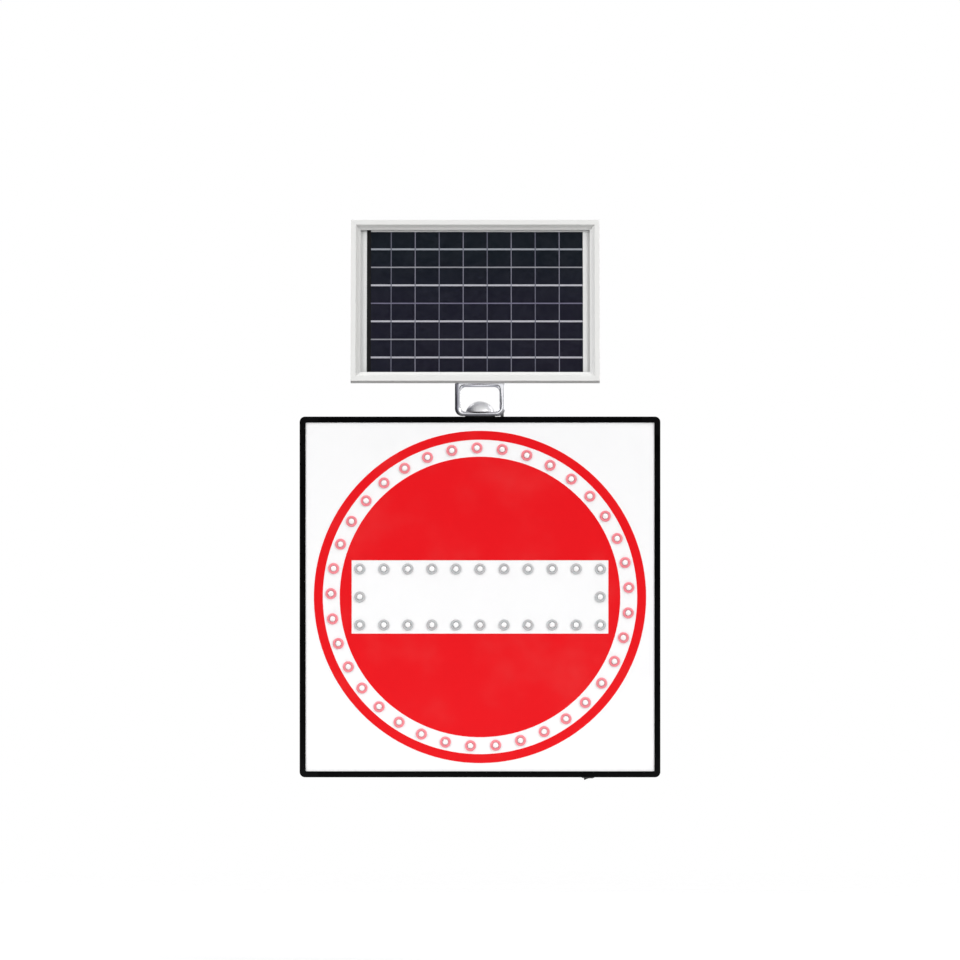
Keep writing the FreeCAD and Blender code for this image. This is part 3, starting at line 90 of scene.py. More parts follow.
# ---------------------------------------------------------------------------
# node kit; colours are linear RGB, lengths are metres
# ---------------------------------------------------------------------------
class Nodes:
    """Builds the node tree of a material or of the world."""

    def __init__(self, owner, output="ShaderNodeOutputMaterial", soft_edge=None):
        owner.use_nodes = True
        self.owner = owner
        self.tree = owner.node_tree
        self.tree.nodes.clear()
        self.output = self.node(output)
        self.coords = self.node("ShaderNodeTexCoord").outputs
        self.soft_edge = soft_edge      # radius by which shading rounds the edges

    def node(self, kind, inputs=(), **settings):
        """A new node; inputs is a sequence by place, or a dict by place or name."""
        new = self.tree.nodes.new(kind)
        for key, value in settings.items():
            setattr(new, key, value)
        for key, value in inputs.items() if isinstance(inputs, dict) else enumerate(inputs):
            self.put(new.inputs[key], value)
        return new

    def put(self, socket, value):
        if value is None:
            return
        if isinstance(value, bpy.types.NodeSocket):
            self.tree.links.new(value, socket)
        elif socket.type == "RGBA":
            socket.default_value = (*value, 1.0)
        else:
            socket.default_value = value

    def math(self, operation, *values):
        return self.node("ShaderNodeMath", values, operation=operation).outputs[0]

    def add(self, a, b):
        return self.math("ADD", a, b)

    def sub(self, a, b):
        return self.math("SUBTRACT", a, b)

    def mul(self, a, b):
        return self.math("MULTIPLY", a, b)

    def plus(self, start, extra, amount):
        return self.add(start, self.mul(extra, amount))

    def off_middle(self, value):
        """Distance from the middle of each unit step, 0 to 0.5."""
        return self.math("ABSOLUTE", self.sub(self.math("FRACT", value), 0.5))

    def span(self, value, start, end, low=0.0, high=1.0):
        """low up to start, easing to high at end."""
        return self.node("ShaderNodeMapRange", (value, start, end, low, high),
                         interpolation_type="SMOOTHSTEP").outputs[0]

    def mix(self, under, over, mask, amount=None):
        """under where mask is 0, over where mask (times amount) is 1."""
        if amount is not None:
            mask = self.mul(mask, amount)
        return self.node("ShaderNodeMix", {0: mask, 6: under, 7: over},
                         data_type="RGBA").outputs[2]

    def ramp(self, value, *stops):
        """Colour ramp through (place, colour) stops, in rising order."""
        new = self.node("ShaderNodeValToRGB", (value,))
        elements = new.color_ramp.elements
        elements.remove(elements[1])
        elements[0].position = stops[0][0]
        elements[0].color = (*stops[0][1], 1)
        for place, color in stops[1:]:
            elements.new(place).color = (*color, 1)
        return new.outputs[0]

    def stretch(self, scale, turn=(0, 0, 0)):
        inputs = {"Vector": self.coords["Object"], "Scale": scale, "Rotation": turn}
        return self.node("ShaderNodeMapping", inputs).outputs[0]

    def noise(self, scale, detail=2.0, rough=0.5, vector=None, out="Fac"):
        inputs = {"Vector": vector or self.coords["Object"],
                  "Scale": scale, "Detail": detail, "Roughness": rough}
        return self.node("ShaderNodeTexNoise", inputs).outputs[out]

    def grains(self, scale, vector, dims="3D"):
        """One random value for each Voronoi cell."""
        cells = self.node("ShaderNodeTexVoronoi", {"Vector": vector, "Scale": scale},
                          voronoi_dimensions=dims)
        return self.node("ShaderNodeSeparateColor", (cells.outputs["Color"],)).outputs[0]

    def random(self, x, y):
        """One random value for each pair of x and y."""
        return self.node("ShaderNodeTexWhiteNoise", {"Vector": self.join(x, y, 0.0)},
                         noise_dimensions="2D").outputs["Value"]

    def xyz(self, vector=None):
        return self.node("ShaderNodeSeparateXYZ", (vector or self.coords["Object"],)).outputs

    def join(self, x, y, z):
        return self.node("ShaderNodeCombineXYZ", (x, y, z)).outputs[0]

    def geometry(self, out):
        return self.node("ShaderNodeNewGeometry").outputs[out]

    def facing(self, blend):
        return self.node("ShaderNodeLayerWeight", {"Blend": blend}).outputs["Facing"]

    def dot(self, a, b):
        return self.node("ShaderNodeVectorMath", (a, b), operation="DOT_PRODUCT").outputs["Value"]

    def edge(self, radius):
        """1 near convex and concave edges, 0 on flats."""
        bevel = self.node("ShaderNodeBevel", {"Radius": radius}, samples=4)
        turn = self.dot(bevel.outputs[0], self.geometry("Normal"))
        return self.span(self.sub(1.0, turn), start=0.004, end=0.25)

    def bump(self, height, strength, depth):
        inputs = {"Strength": strength, "Distance": depth, "Height": height}
        return self.node("ShaderNodeBump", inputs).outputs[0]

    def principled(self, color, rough, metal=0.0, normal=None, **inputs):
        """Principled shader; other inputs go by name, with _ for a space."""
        if self.soft_edge:
            soft = self.node("ShaderNodeBevel", {"Radius": self.soft_edge}, samples=6)
            self.put(normal.node.inputs["Normal"], soft.outputs[0])
        named = {key.replace("_", " "): value for key, value in inputs.items()}
        named.update({"Base Color": color, "Roughness": rough, "Metallic": metal,
                      "Normal": normal})
        return self.node("ShaderNodeBsdfPrincipled", named).outputs[0]

    def mix_shaders(self, mask, first, second):
        return self.node("ShaderNodeMixShader", (mask, first, second)).outputs[0]

    def finish(self, shader):
        self.put(self.output.inputs["Surface"], shader)
        return self.owner

    def surface(self, *args, **inputs):
        return self.finish(self.principled(*args, **inputs))

    def panel_xy(self):
        """x and y of the panel's own frame, in millimetres."""
        x, y, z = self.xyz()
        along = self.add(self.mul(self.sub(y, AXIS_Y), COS_LEAN * 1000),
                         self.mul(self.sub(z, TILT_Z), SIN_LEAN * 1000))
        return self.mul(x, 1000.0), along

    def panel_facing(self):
        """1 on faces that look out of the panel's front, -1 on those that look back."""
        normal = self.node("ShaderNodeVectorTransform", (self.geometry("True Normal"),),
                           vector_type="NORMAL", convert_from="WORLD", convert_to="OBJECT")
        return self.dot(normal.outputs[0], (0.0, -SIN_LEAN, COS_LEAN))


def material(name, soft_edge=None):
    return Nodes(bpy.data.materials.new(name), soft_edge=soft_edge)


def shade(color, factor, lift=0.0):
    return tuple(min(1, channel * factor + lift) for channel in color)


# ---------------------------------------------------------------------------
# materials
# ---------------------------------------------------------------------------
def powder_coat():
    """Satin black coat of the box frame."""
    m = material("black_powder_coat", soft_edge=0.0006)
    peel = m.noise(scale=900, detail=3, rough=0.55)
    fine = m.noise(scale=5200, detail=1)
    dust = m.noise(scale=14, detail=4, rough=0.6)
    patches = m.span(m.noise(scale=260, detail=3, rough=0.7), start=0.52, end=0.72)
    wear = m.mul(m.edge(radius=0.0005), patches)
    color = m.mix((0.0007, 0.0007, 0.0008), (0.0018, 0.0018, 0.0020),
                  mask=m.span(dust, start=0.35, end=0.8))
    color = m.mix(color, (0.06, 0.06, 0.06), mask=wear, amount=0.16)
    return m.surface(color, rough=m.plus(0.30, dust, amount=0.14),
                     normal=m.bump(m.plus(peel, fine, amount=0.4), strength=0.14, depth=0.0001),
                     Specular_IOR_Level=0.10)


def moulded_corner():
    m = material("black_moulded_corner", soft_edge=0.0006)
    grain = m.noise(scale=1700, detail=4, rough=0.6)
    color = m.mix((0.0016, 0.0016, 0.0018), (0.0038, 0.0038, 0.0041),
                  mask=m.span(m.noise(scale=20, detail=3), start=0.4, end=0.8))
    color = m.mix(color, (0.03, 0.03, 0.031), mask=m.edge(radius=0.0006), amount=0.15)
    return m.surface(color, rough=m.plus(0.34, grain, amount=0.15),
                     normal=m.bump(grain, strength=0.16, depth=0.0001), Specular_IOR_Level=0.10)


def sheeting(name, face, seam, seam_amount):
    """Reflective sheeting: sealed hexagon cells under a clear skin."""
    pitch = 0.0034      # across the flats of a cell
    row = 3 ** 0.5      # height of the repeat, in pitches
    m = material(name)
    x, _, z = m.xyz()
    across, up = m.mul(x, 1 / pitch), m.mul(z, 1 / pitch)

    def wrap(value, size, offset):
        return m.sub(m.math("FLOORED_MODULO", m.sub(value, offset), size), size / 2)

    def squared(a, b):
        return m.add(m.mul(a, a), m.mul(b, b))

    # two staggered grids of cell centres; each point belongs to the nearer one
    ax, ay = wrap(across, 1.0, 0.0), wrap(up, row, 0.0)
    bx, by = wrap(across, 1.0, 0.5), wrap(up, row, row / 2)
    near_a = m.math("LESS_THAN", squared(ax, ay), squared(bx, by))
    near_b = m.sub(1.0, near_a)
    cell_x, cell_y = (m.math("ABSOLUTE", m.add(m.mul(a, near_a), m.mul(b, near_b)))
                      for a, b in ((ax, bx), (ay, by)))
    rim = m.math("MAXIMUM", cell_x, m.plus(m.mul(cell_x, 0.5), cell_y, amount=row / 2))
    seams = m.span(rim, start=0.435, end=0.485)
    glow = m.noise(scale=9, detail=3, rough=0.55)
    grit = m.noise(scale=2600, detail=2, rough=0.6)
    color = m.mix(face, seam, mask=seams, amount=seam_amount)
    color = m.mix(color, (0.55, 0.52, 0.47), mask=m.span(glow, start=0.45, end=0.85),
                  amount=0.035)
    color = m.mix(color, seam, mask=m.span(grit, start=0.55, end=0.8), amount=0.05)
    return m.surface(color, rough=m.plus(0.28, glow, amount=0.12),
                     normal=m.bump(m.sub(1.0, seams), strength=0.10, depth=0.00006),
                     Coat_Weight=0.10, Coat_Roughness=0.12, Specular_IOR_Level=0.25)


def bezel(name, light, deep):
    """Translucent plastic of the lamp bezels."""
    m = material(name)
    swirl = m.noise(scale=420, detail=3, rough=0.6)
    # painted shade: the bezel's colour deepens where its surface turns away from view
    color = m.mix(light, deep, mask=m.facing(blend=0.35), amount=0.8)
    color = m.mix(color, deep, mask=m.span(swirl, start=0.4, end=0.8), amount=0.15)
    relief = m.noise(scale=1900, detail=2)
    return m.surface(color, rough=m.plus(0.22, swirl, amount=0.16),
                     normal=m.bump(relief, strength=0.06, depth=0.0001),
                     Coat_Weight=0.35, Coat_Roughness=0.08, Subsurface_Weight=0.15,
                     Subsurface_Radius=(0.004, 0.002, 0.002), Subsurface_Scale=0.4)


def lamp_lens():
    m = material("lamp_lens")
    haze = m.noise(scale=800, detail=3, rough=0.6)
    # painted shade: the lens is painted greyer where its surface turns away from view
    color = m.mix((0.985, 0.985, 0.98), (0.88, 0.885, 0.895), mask=m.facing(blend=0.25),
                  amount=0.30)
    color = m.mix(color, (0.75, 0.75, 0.74), mask=m.span(haze, start=0.5, end=0.8), amount=0.06)
    relief = m.noise(scale=2400, detail=1)
    return m.surface(color, rough=0.07, normal=m.bump(relief, strength=0.02, depth=0.00005),
                     Coat_Weight=0.6, Coat_Roughness=0.03, Subsurface_Weight=0.3,
                     Subsurface_Radius=(0.005, 0.005, 0.005), Subsurface_Scale=0.5)


def metal(name, color, rough, stretch, streak, amount, spots, tint, relief, wear):
    """Bare metal: streaks of one scale along a stretch, clouds of tint, dark spots, worn edges."""
    m = material(name, soft_edge=0.0004)
    streaks = m.noise(scale=streak, detail=4, rough=0.62, vector=m.stretch(scale=stretch))
    cloud = m.noise(scale=18, detail=4, rough=0.6)
    spot = m.noise(scale=310, detail=3, rough=0.7)
    mixed = m.mix(color, shade(color, 0.72), mask=m.span(streaks, start=0.3, end=0.75),
                  amount=amount)
    mixed = m.mix(mixed, tint, mask=m.span(cloud, start=0.45, end=0.8), amount=amount)
    mixed = m.mix(mixed, shade(color, 0.45), mask=m.span(spot, start=0.62, end=0.72),
                  amount=spots)
    if wear:
        mixed = m.mix(mixed, shade(color, 1.35), mask=m.edge(radius=0.0005), amount=wear)
    height = m.plus(streaks, m.noise(scale=1400, detail=2), amount=0.3)
    return m.surface(mixed, rough=m.plus(rough, m.sub(streaks, 0.5), amount=0.25), metal=1.0,
                     normal=m.bump(height, strength=relief, depth=0.0003))


def sheet_aluminium():
    color = (0.56, 0.57, 0.585)
    return metal("mill_finish_sheet", color, rough=0.38, stretch=(1, 1, 26), streak=45,
                 amount=0.16, spots=0.15, tint=shade(color, 0.8), relief=0.06, wear=0)


def rail_aluminium():
    color = (0.60, 0.61, 0.625)
    return metal("extruded_rail", color, rough=0.34, stretch=(0.05, 8, 8), streak=160,
                 amount=0.22, spots=0.1, tint=shade(color, 0.8), relief=0.08, wear=0.3)


def zinc_steel():
    return metal("zinc_plated_steel", (0.60, 0.605, 0.60), rough=0.27, stretch=(1, 1, 1),
                 streak=240, amount=0.25, spots=0.2, tint=(0.55, 0.53, 0.42), relief=0.06,
                 wear=0.4)


def galvanised_steel():
    """Zinc spangles with wavering borders."""
    m = material("hot_dip_galvanised", soft_edge=0.0006)
    waver = m.node("ShaderNodeVectorMath",
                   {0: m.noise(scale=500, detail=2, out="Color"), "Scale": 0.0022},
                   operation="SCALE")
    place = m.node("ShaderNodeVectorMath", (m.coords["Object"], waver.outputs[0]),
                   operation="ADD")
    spangle = m.grains(scale=260, vector=place.outputs[0])
    cloud = m.noise(scale=40, detail=4, rough=0.65)
    color = m.ramp(spangle, (0.0, (0.43, 0.44, 0.455)), (0.5, (0.50, 0.51, 0.52)),
                   (1.0, (0.58, 0.585, 0.59)))
    color = m.mix(color, (0.66, 0.66, 0.64), mask=m.span(cloud, start=0.42, end=0.8),
                  amount=0.35)
    height = m.plus(m.noise(scale=700, detail=3), spangle, amount=0.2)
    return m.surface(color, rough=m.plus(0.36, spangle, amount=0.14), metal=0.9,
                     normal=m.bump(height, strength=0.12, depth=0.0003))


def polished_casting():
    """Polished loop with painted shade on its left side and round the head of its opening, and
    painted blue-grey shading at its foot.
    """
    m = material("polished_casting")
    wave = m.noise(scale=75, detail=3)
    scratch = m.noise(scale=420, detail=2,
                      vector=m.stretch(scale=(1, 1, 0.06), turn=(0.3, 0.4, 0.2)))
    x, _, z = m.xyz()
    # painted shade: the left outer side of the loop is painted dark
    left = m.span(x, start=-0.0338, end=-0.0370)
    # painted shade: the loop is painted darker round the head of its opening
    head = m.mul(m.span(z, start=0.5236, end=0.5208),
                 m.math("LESS_THAN", m.math("ABSOLUTE", x), 0.0300))
    head = m.mul(head, m.math("GREATER_THAN", z, 0.505))
    # painted shading at the foot: a blue-grey, less metallic tone lightens the rounded foot in place
    # of its dark reflection of the box top
    foot = m.span(z, start=0.4762, end=0.4718)
    color = m.mix((0.84, 0.845, 0.88), (0.70, 0.71, 0.76),
                  mask=m.span(wave, start=0.4, end=0.8), amount=0.10)
    # mix in the painted shade of the left side, of the head of the opening and of the foot
    color = m.mix(color, (0.13, 0.13, 0.17), mask=left, amount=0.85)
    color = m.mix(color, (0.24, 0.25, 0.31), mask=head, amount=0.75)
    color = m.mix(color, (0.42, 0.42, 0.50), mask=foot, amount=0.65)
    height = m.plus(m.mul(wave, 1.0), scratch, amount=0.03)
    # the foot's painted shading also lowers the metallic weight
    return m.surface(color, rough=m.plus(0.13, m.span(scratch, start=0.5, end=0.85), amount=0.08),
                     metal=m.sub(0.76, m.mul(foot, 0.45)),
                     normal=m.bump(height, strength=0.025, depth=0.0004))


def chrome_dome():
    """Chrome cap with painted shade at its lower left."""
    m = material("chrome_dome")
    haze = m.noise(scale=130, detail=3, rough=0.6)
    color = m.mix((0.93, 0.93, 0.94), (0.78, 0.79, 0.82),
                  mask=m.span(haze, start=0.45, end=0.8), amount=0.08)
    x, _, z = m.xyz()
    # painted shade: the lower left of the cap is painted dark
    painted_shade_low_left = m.mul(m.span(x, start=-0.0040, end=-0.0200), m.span(z, start=0.4925, end=0.4815))
    color = m.mix(color, (0.10, 0.10, 0.13), mask=painted_shade_low_left, amount=0.86)
    return m.surface(color, rough=m.plus(0.30, haze, amount=0.06), metal=0.38,
                     normal=m.bump(haze, strength=0.01, depth=0.0002))


def panel_frame():
    """Anodised frame: two inner bands of painted shade follow the outline, darker on the top and
    left sides than on the bottom and right, and painted shade darkens the flanks.
    """
    m = material("anodised_panel_frame", soft_edge=0.0005)
    x, y = m.panel_xy()
    drawn = m.noise(scale=2600, detail=3, rough=0.6, vector=m.stretch(scale=(0.2, 1, 0.2)))
    cloud = m.noise(scale=12, detail=4, rough=0.6)
    color = m.mix((0.83, 0.83, 0.81), (0.70, 0.70, 0.69),
                  mask=m.span(drawn, start=0.35, end=0.75), amount=0.06)
    color = m.mix(color, (0.70, 0.70, 0.68), mask=m.span(cloud, start=0.45, end=0.85),
                  amount=0.05)

    def nearer(a, b):
        return m.math("MINIMUM", a, b)

    inset = nearer(nearer(m.add(x, -PANEL_LEFT), m.sub(PANEL_RIGHT, x)),
                   nearer(m.add(y, -PANEL_BOTTOM), m.sub(PANEL_TOP, y)))
    to_top_left = nearer(m.add(x, -PANEL_LEFT), m.sub(PANEL_TOP, y))
    to_low_right = nearer(m.sub(PANEL_RIGHT, x), m.add(y, -PANEL_BOTTOM))
    # painted shade on the two inner bands: darker on the top and left sides, lighter on the bottom
    # and right
    painted_light_low_right = m.math("LESS_THAN", to_low_right, to_top_left)
    outer_band_painted_shade = m.mix((0.60, 0.60, 0.585), (0.80, 0.80, 0.785), mask=painted_light_low_right)
    inner_band_painted_shade = m.mix((0.62, 0.62, 0.605), (0.84, 0.84, 0.825), mask=painted_light_low_right)
    color = m.mix(color, outer_band_painted_shade, mask=m.span(inset, start=7.7, end=8.3))
    color = m.mix(color, inner_band_painted_shade, mask=m.span(inset, start=11.7, end=12.3))
    # painted shade: faces turned sideways from the panel's front are painted darker
    painted_flank_shade = m.span(m.math("ABSOLUTE", m.panel_facing()), start=0.30, end=0.06)
    color = m.mix(color, (0.40, 0.40, 0.39), mask=painted_flank_shade, amount=0.85)
    color = m.mix(color, (0.90, 0.90, 0.89), mask=m.edge(radius=0.0004), amount=0.2)
    return m.surface(color, rough=m.plus(0.42, drawn, amount=0.12), metal=0.12,
                     normal=m.bump(drawn, strength=0.03, depth=0.0001))


def silicon_cells():
    """Solar cells: a tint for each cell and row, painted shade on the upper rows, crystal grain,
    printed fingers.
    """
    m = material("silicon_cells")
    x, y = m.panel_xy()
    column = m.math("DIVIDE", m.add(x, -FIELD_LEFT), CELL_WIDTH)
    row = m.math("DIVIDE", m.sub(y, FIELD_BOTTOM), CELL_HEIGHT)
    cell_tone = m.random(m.math("FLOOR", column), m.math("FLOOR", row))
    row_tone = m.random(m.math("FLOOR", row), 7.0)
    flake = m.grains(scale=0.22, vector=m.join(x, m.mul(y, 0.8), 0.0), dims="2D")
    color = m.mix((0.0078, 0.0074, 0.0165), (0.0098, 0.0084, 0.0172), mask=row_tone)
    color = m.mix(color, (0.0082, 0.0084, 0.0174), mask=cell_tone)
    # painted shade: the upper rows are painted darker and more teal
    color = m.mix(color, (0.0026, 0.0062, 0.0095), mask=m.span(y, start=110.0, end=210.0),
                  amount=0.85)
    color = m.mix(color, (0.014, 0.017, 0.030), mask=flake, amount=0.16)
    # each half cell is darker towards its top and bottom
    half = m.off_middle(m.mul(m.math("FRACT", row), 2.0))
    color = m.mix(color, (0.0035, 0.0042, 0.0070), mask=m.span(half, start=0.30, end=0.5),
                  amount=0.35)
    finger = m.off_middle(m.math("DIVIDE", x, 2.0))     # one finger every 2 mm
    color = m.mix(color, (0.17, 0.175, 0.20), mask=m.span(finger, start=0.445, end=0.475),
                  amount=0.13)
    return m.surface(color, rough=m.plus(0.30, flake, amount=0.18),
                     normal=m.bump(flake, strength=0.06, depth=0.0001), Specular_IOR_Level=0.22)


def tinned_ribbon():
    """Ribbons over the cells, with painted shade darkening the top row and, a little, the bottom
    row.
    """
    m = material("tinned_ribbon")
    x, y = m.panel_xy()
    wave = m.noise(scale=1.0, detail=3, rough=0.6, vector=m.join(m.mul(x, 0.25), m.mul(y, 1.6), 0.0))
    row = m.math("FLOOR", m.math("DIVIDE", m.add(y, -FIELD_BOTTOM), CELL_HEIGHT))
    color = m.mix((0.46, 0.455, 0.51), (0.61, 0.60, 0.65),
                  mask=m.span(wave, start=0.3, end=0.75))
    # painted shade: the ribbons of the top row are painted darker, those of the bottom row a little
    # darker
    color = m.mix(color, (0.34, 0.36, 0.40), mask=m.math("COMPARE", row, 3.0, 0.4))
    color = m.mix(color, (0.45, 0.44, 0.50), mask=m.math("COMPARE", row, 0.0, 0.4), amount=0.4)
    return m.surface(color, rough=m.plus(0.32, wave, amount=0.2), metal=0.15,
                     normal=m.bump(wave, strength=0.15, depth=0.0003))


def backsheet():
    """White sheet with painted shade on its front in the gaps between the cells."""
    half_width, half_height = 179.4, 121.4      # of the tinted field
    m = material("white_backsheet")
    x, y = m.panel_xy()
    color = m.mix((0.80, 0.80, 0.785), (0.70, 0.71, 0.70),
                  mask=m.span(m.noise(scale=16, detail=3), start=0.45, end=0.85), amount=0.12)
    from_middle_x = m.math("ABSOLUTE", m.add(x, -FIELD_X))
    from_middle_y = m.math("ABSOLUTE", m.sub(y, FIELD_Y))
    in_field = m.mul(m.math("LESS_THAN", from_middle_x, half_width),
                     m.math("LESS_THAN", from_middle_y, half_height))
    # 0 on the lines between rows
    off_line = m.off_middle(m.math("DIVIDE", m.sub(y, FIELD_Y - CELL_HEIGHT / 2), CELL_HEIGHT))
    column_line = m.math("ROUND", m.math("DIVIDE", m.add(x, -FIELD_LEFT), CELL_WIDTH))
    # painted shade in the gaps between cells: every other column darker, and the line between the
    # middle rows darker still
    painted_upright_gap_shade = m.mix((0.205, 0.20, 0.255), (0.130, 0.130, 0.175),
                        mask=m.math("MODULO", column_line, 2.0))
    rows_up = m.math("DIVIDE", m.sub(y, FIELD_Y), CELL_HEIGHT)
    painted_level_gap_shade = m.mix((0.29, 0.29, 0.325), (0.155, 0.145, 0.22),
                      mask=m.math("COMPARE", rows_up, 0.0, 0.3))
    gaps = m.mix(painted_level_gap_shade, painted_upright_gap_shade, mask=m.span(off_line, start=0.018, end=0.022))
    front = m.math("GREATER_THAN", m.panel_facing(), 0.0)
    color = m.mix(color, gaps, mask=in_field, amount=front)
    return m.surface(color, rough=0.55, normal=m.bump(m.noise(scale=1500, detail=2),
                                                      strength=0.12, depth=0.0001))


def insulating_strip():
    m = material("black_insulating_strip")
    weave = m.noise(scale=2100, detail=3, rough=0.6)
    return m.surface(m.mix((0.0030, 0.0030, 0.0034), (0.0062, 0.0062, 0.0067), mask=weave),
                     rough=0.55, normal=m.bump(weave, strength=0.15, depth=0.0001),
                     Specular_IOR_Level=0.2)


def solar_glass():
    """Clear sheet that reflects from its front faces only."""
    m = material("solar_glass")
    ripple = m.noise(scale=55, detail=2)
    grime = m.noise(scale=7, detail=5, rough=0.62)
    tint = m.mix((0.998, 0.999, 0.999), (0.985, 0.99, 0.99),
                 mask=m.span(grime, start=0.4, end=0.85))
    clear = m.node("ShaderNodeBsdfTransparent", {"Color": tint})
    height = m.plus(ripple, m.noise(scale=1700, detail=1), amount=0.15)
    gloss = m.node("ShaderNodeBsdfGlossy", {
        "Color": (1, 1, 1), "Roughness": m.plus(0.06, grime, amount=0.10),
        "Normal": m.bump(height, strength=0.04, depth=0.0004)})
    fresnel = m.node("ShaderNodeFresnel", {"IOR": 1.42}).outputs[0]
    share = m.mul(m.mul(fresnel, 0.55), m.sub(1.0, m.geometry("Backfacing")))
    return m.finish(m.mix_shaders(share, clear.outputs[0], gloss.outputs[0]))


def plastic(name, dark, light, rough, scale=1500, relief=0.2, wear=0.1, **coat):
    """Moulded plastic or rubber: clouds of two tones under a grain of one scale."""
    m = material(name, soft_edge=0.0005)
    grain = m.noise(scale=scale, detail=4, rough=0.6)
    cloud = m.noise(scale=25, detail=4, rough=0.6)
    color = m.mix(dark, light, mask=m.span(cloud, start=0.35, end=0.8))
    if wear:
        color = m.mix(color, shade(dark, 2.2, lift=0.02), mask=m.edge(radius=0.0005),
                      amount=wear)
    return m.surface(color, rough=m.plus(rough, grain, amount=0.15),
                     normal=m.bump(grain, strength=relief, depth=0.00015), **coat)


def circuit_board():
    """Green board with patches of upright and level traces."""
    m = material("green_circuit_board")
    x, _, z = m.xyz()
    upright, level = (m.span(m.off_middle(m.mul(axis, 420.0)), start=0.34, end=0.40)
                      for axis in (x, z))
    patches = m.span(m.noise(scale=130, detail=2), start=0.48, end=0.52)
    trace = m.mix(m.join(upright, upright, upright), m.join(level, level, level), mask=patches)
    color = m.mix((0.012, 0.085, 0.030), (0.03, 0.17, 0.07), mask=trace, amount=0.5)
    return m.surface(color, rough=0.28, normal=m.bump(trace, strength=0.2, depth=0.0001),
                     Coat_Weight=0.3)


# material of each slot
finishes = {
    "black_frame": powder_coat(),
    "black_moulding": moulded_corner(),
    "white_sheeting": sheeting("white_retroreflective_sheeting", face=(0.955, 0.955, 0.955),
                               seam=(0.70, 0.71, 0.72), seam_amount=0.10),
    "red_film": sheeting("red_transparent_film", face=(0.815, 0.0080, 0.0125),
                         seam=(0.55, 0.003, 0.006), seam_amount=0.16),
    "pink_bezel": bezel("pink_bezel_plastic", light=(0.93, 0.275, 0.315),
                        deep=(0.84, 0.15, 0.19)),
    "grey_bezel": bezel("grey_bezel_plastic", light=(0.54, 0.545, 0.55),
                        deep=(0.34, 0.345, 0.355)),
    "clear_lens": lamp_lens(),
    "bare_aluminium": sheet_aluminium(),
    "rail_aluminium": rail_aluminium(),
    "zinc_steel": zinc_steel(),
    "galvanised_steel": galvanised_steel(),
    "polished_loop": polished_casting(),
    "chrome_cap": chrome_dome(),
    "panel_aluminium": panel_frame(),
    "solar_cell": silicon_cells(),
    "tinned_ribbon": tinned_ribbon(),
    "backsheet_white": backsheet(),
    "black_tape": insulating_strip(),
    "panel_glass": solar_glass(),
    "seal_rubber": plastic("seal_rubber", dark=(0.012, 0.012, 0.012),
                           light=(0.022, 0.022, 0.021), rough=0.70, scale=900, relief=0.35),
    "black_plastic": plastic("black_moulded_plastic", dark=(0.016, 0.016, 0.018),
                             light=(0.026, 0.026, 0.028), rough=0.40),
    "grey_plastic": plastic("grey_moulded_plastic", dark=(0.22, 0.23, 0.24),
                            light=(0.27, 0.275, 0.28), rough=0.42),
    "gloss_black": plastic("gloss_black_rocker", dark=(0.010, 0.010, 0.011),
                           light=(0.016, 0.016, 0.017), rough=0.14, scale=2200, relief=0.04,
                           wear=0.05, Coat_Weight=0.5),
    "cable_sheath": plastic("cable_sheath", dark=(0.014, 0.014, 0.014),
                            light=(0.024, 0.024, 0.023), rough=0.48, scale=700, relief=0.25,
                            wear=0),
    "cell_wrap": plastic("shrink_wrap", dark=(0.03, 0.10, 0.42), light=(0.04, 0.14, 0.50),
                         rough=0.22, scale=300, relief=0.08, Coat_Weight=0.4),
    "circuit_board": circuit_board(),
}

slot_of = {part["node"]: part["material_slot"] for part in frame["record"]["subparts"]}
for name, ob in cad_nodes.items():
    ob.data.materials.clear()
    ob.data.materials.append(finishes[slot_of[name]])


# ---------------------------------------------------------------------------
# mesh kit
# ---------------------------------------------------------------------------
def smooth(mesh, angle):
    for face in mesh.polygons:
        face.use_smooth = True
    mesh.set_sharp_from_angle(angle=math.radians(angle))


def mesh_object(name, verts, faces, finish, angle):
    """A mesh shaded smooth, but sharp where faces meet at more than angle degrees."""
    mesh = bpy.data.meshes.new(name)
    mesh.from_pydata([tuple(point) for point in verts], [], faces)
    mesh.update()
    mesh.materials.append(finish)
    smooth(mesh, angle)
    ob = bpy.data.objects.new(name, mesh)
    bpy.context.scene.collection.objects.link(ob)
    return ob


def face_outward(ob, angle):
    mesh = bmesh.new()
    mesh.from_mesh(ob.data)
    bmesh.ops.recalc_face_normals(mesh, faces=mesh.faces)
    mesh.to_mesh(ob.data)
    mesh.free()
    smooth(ob.data, angle)


def register(ob, node, part):
    """Puts ob in place of a CAD node, moving with part."""
    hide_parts(node)
    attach(ob, part)


def arc(x, y, radius, start, end, steps):
    angles = (math.radians(start + (end - start) * i / steps) for i in range(steps + 1))
    return [(x + radius * math.cos(a), y + radius * math.sin(a)) for a in angles]


def turn_ring(outline, segments, place, verts, faces):
    """Turns a closed (radius, z) outline about z; place maps its points to the row frame."""
    base, count = len(verts), len(outline)
    for i in range(segments):
        angle = 2 * math.pi * i / segments
        for radius, z in outline:
            verts.append(place(radius * math.cos(angle), radius * math.sin(angle), z))
    for i in range(segments):
        this, after = base + i * count, base + (i + 1) % segments * count
        for k in range(count):
            l = (k + 1) % count
            faces.append((this + k, after + k, after + l, this + l))


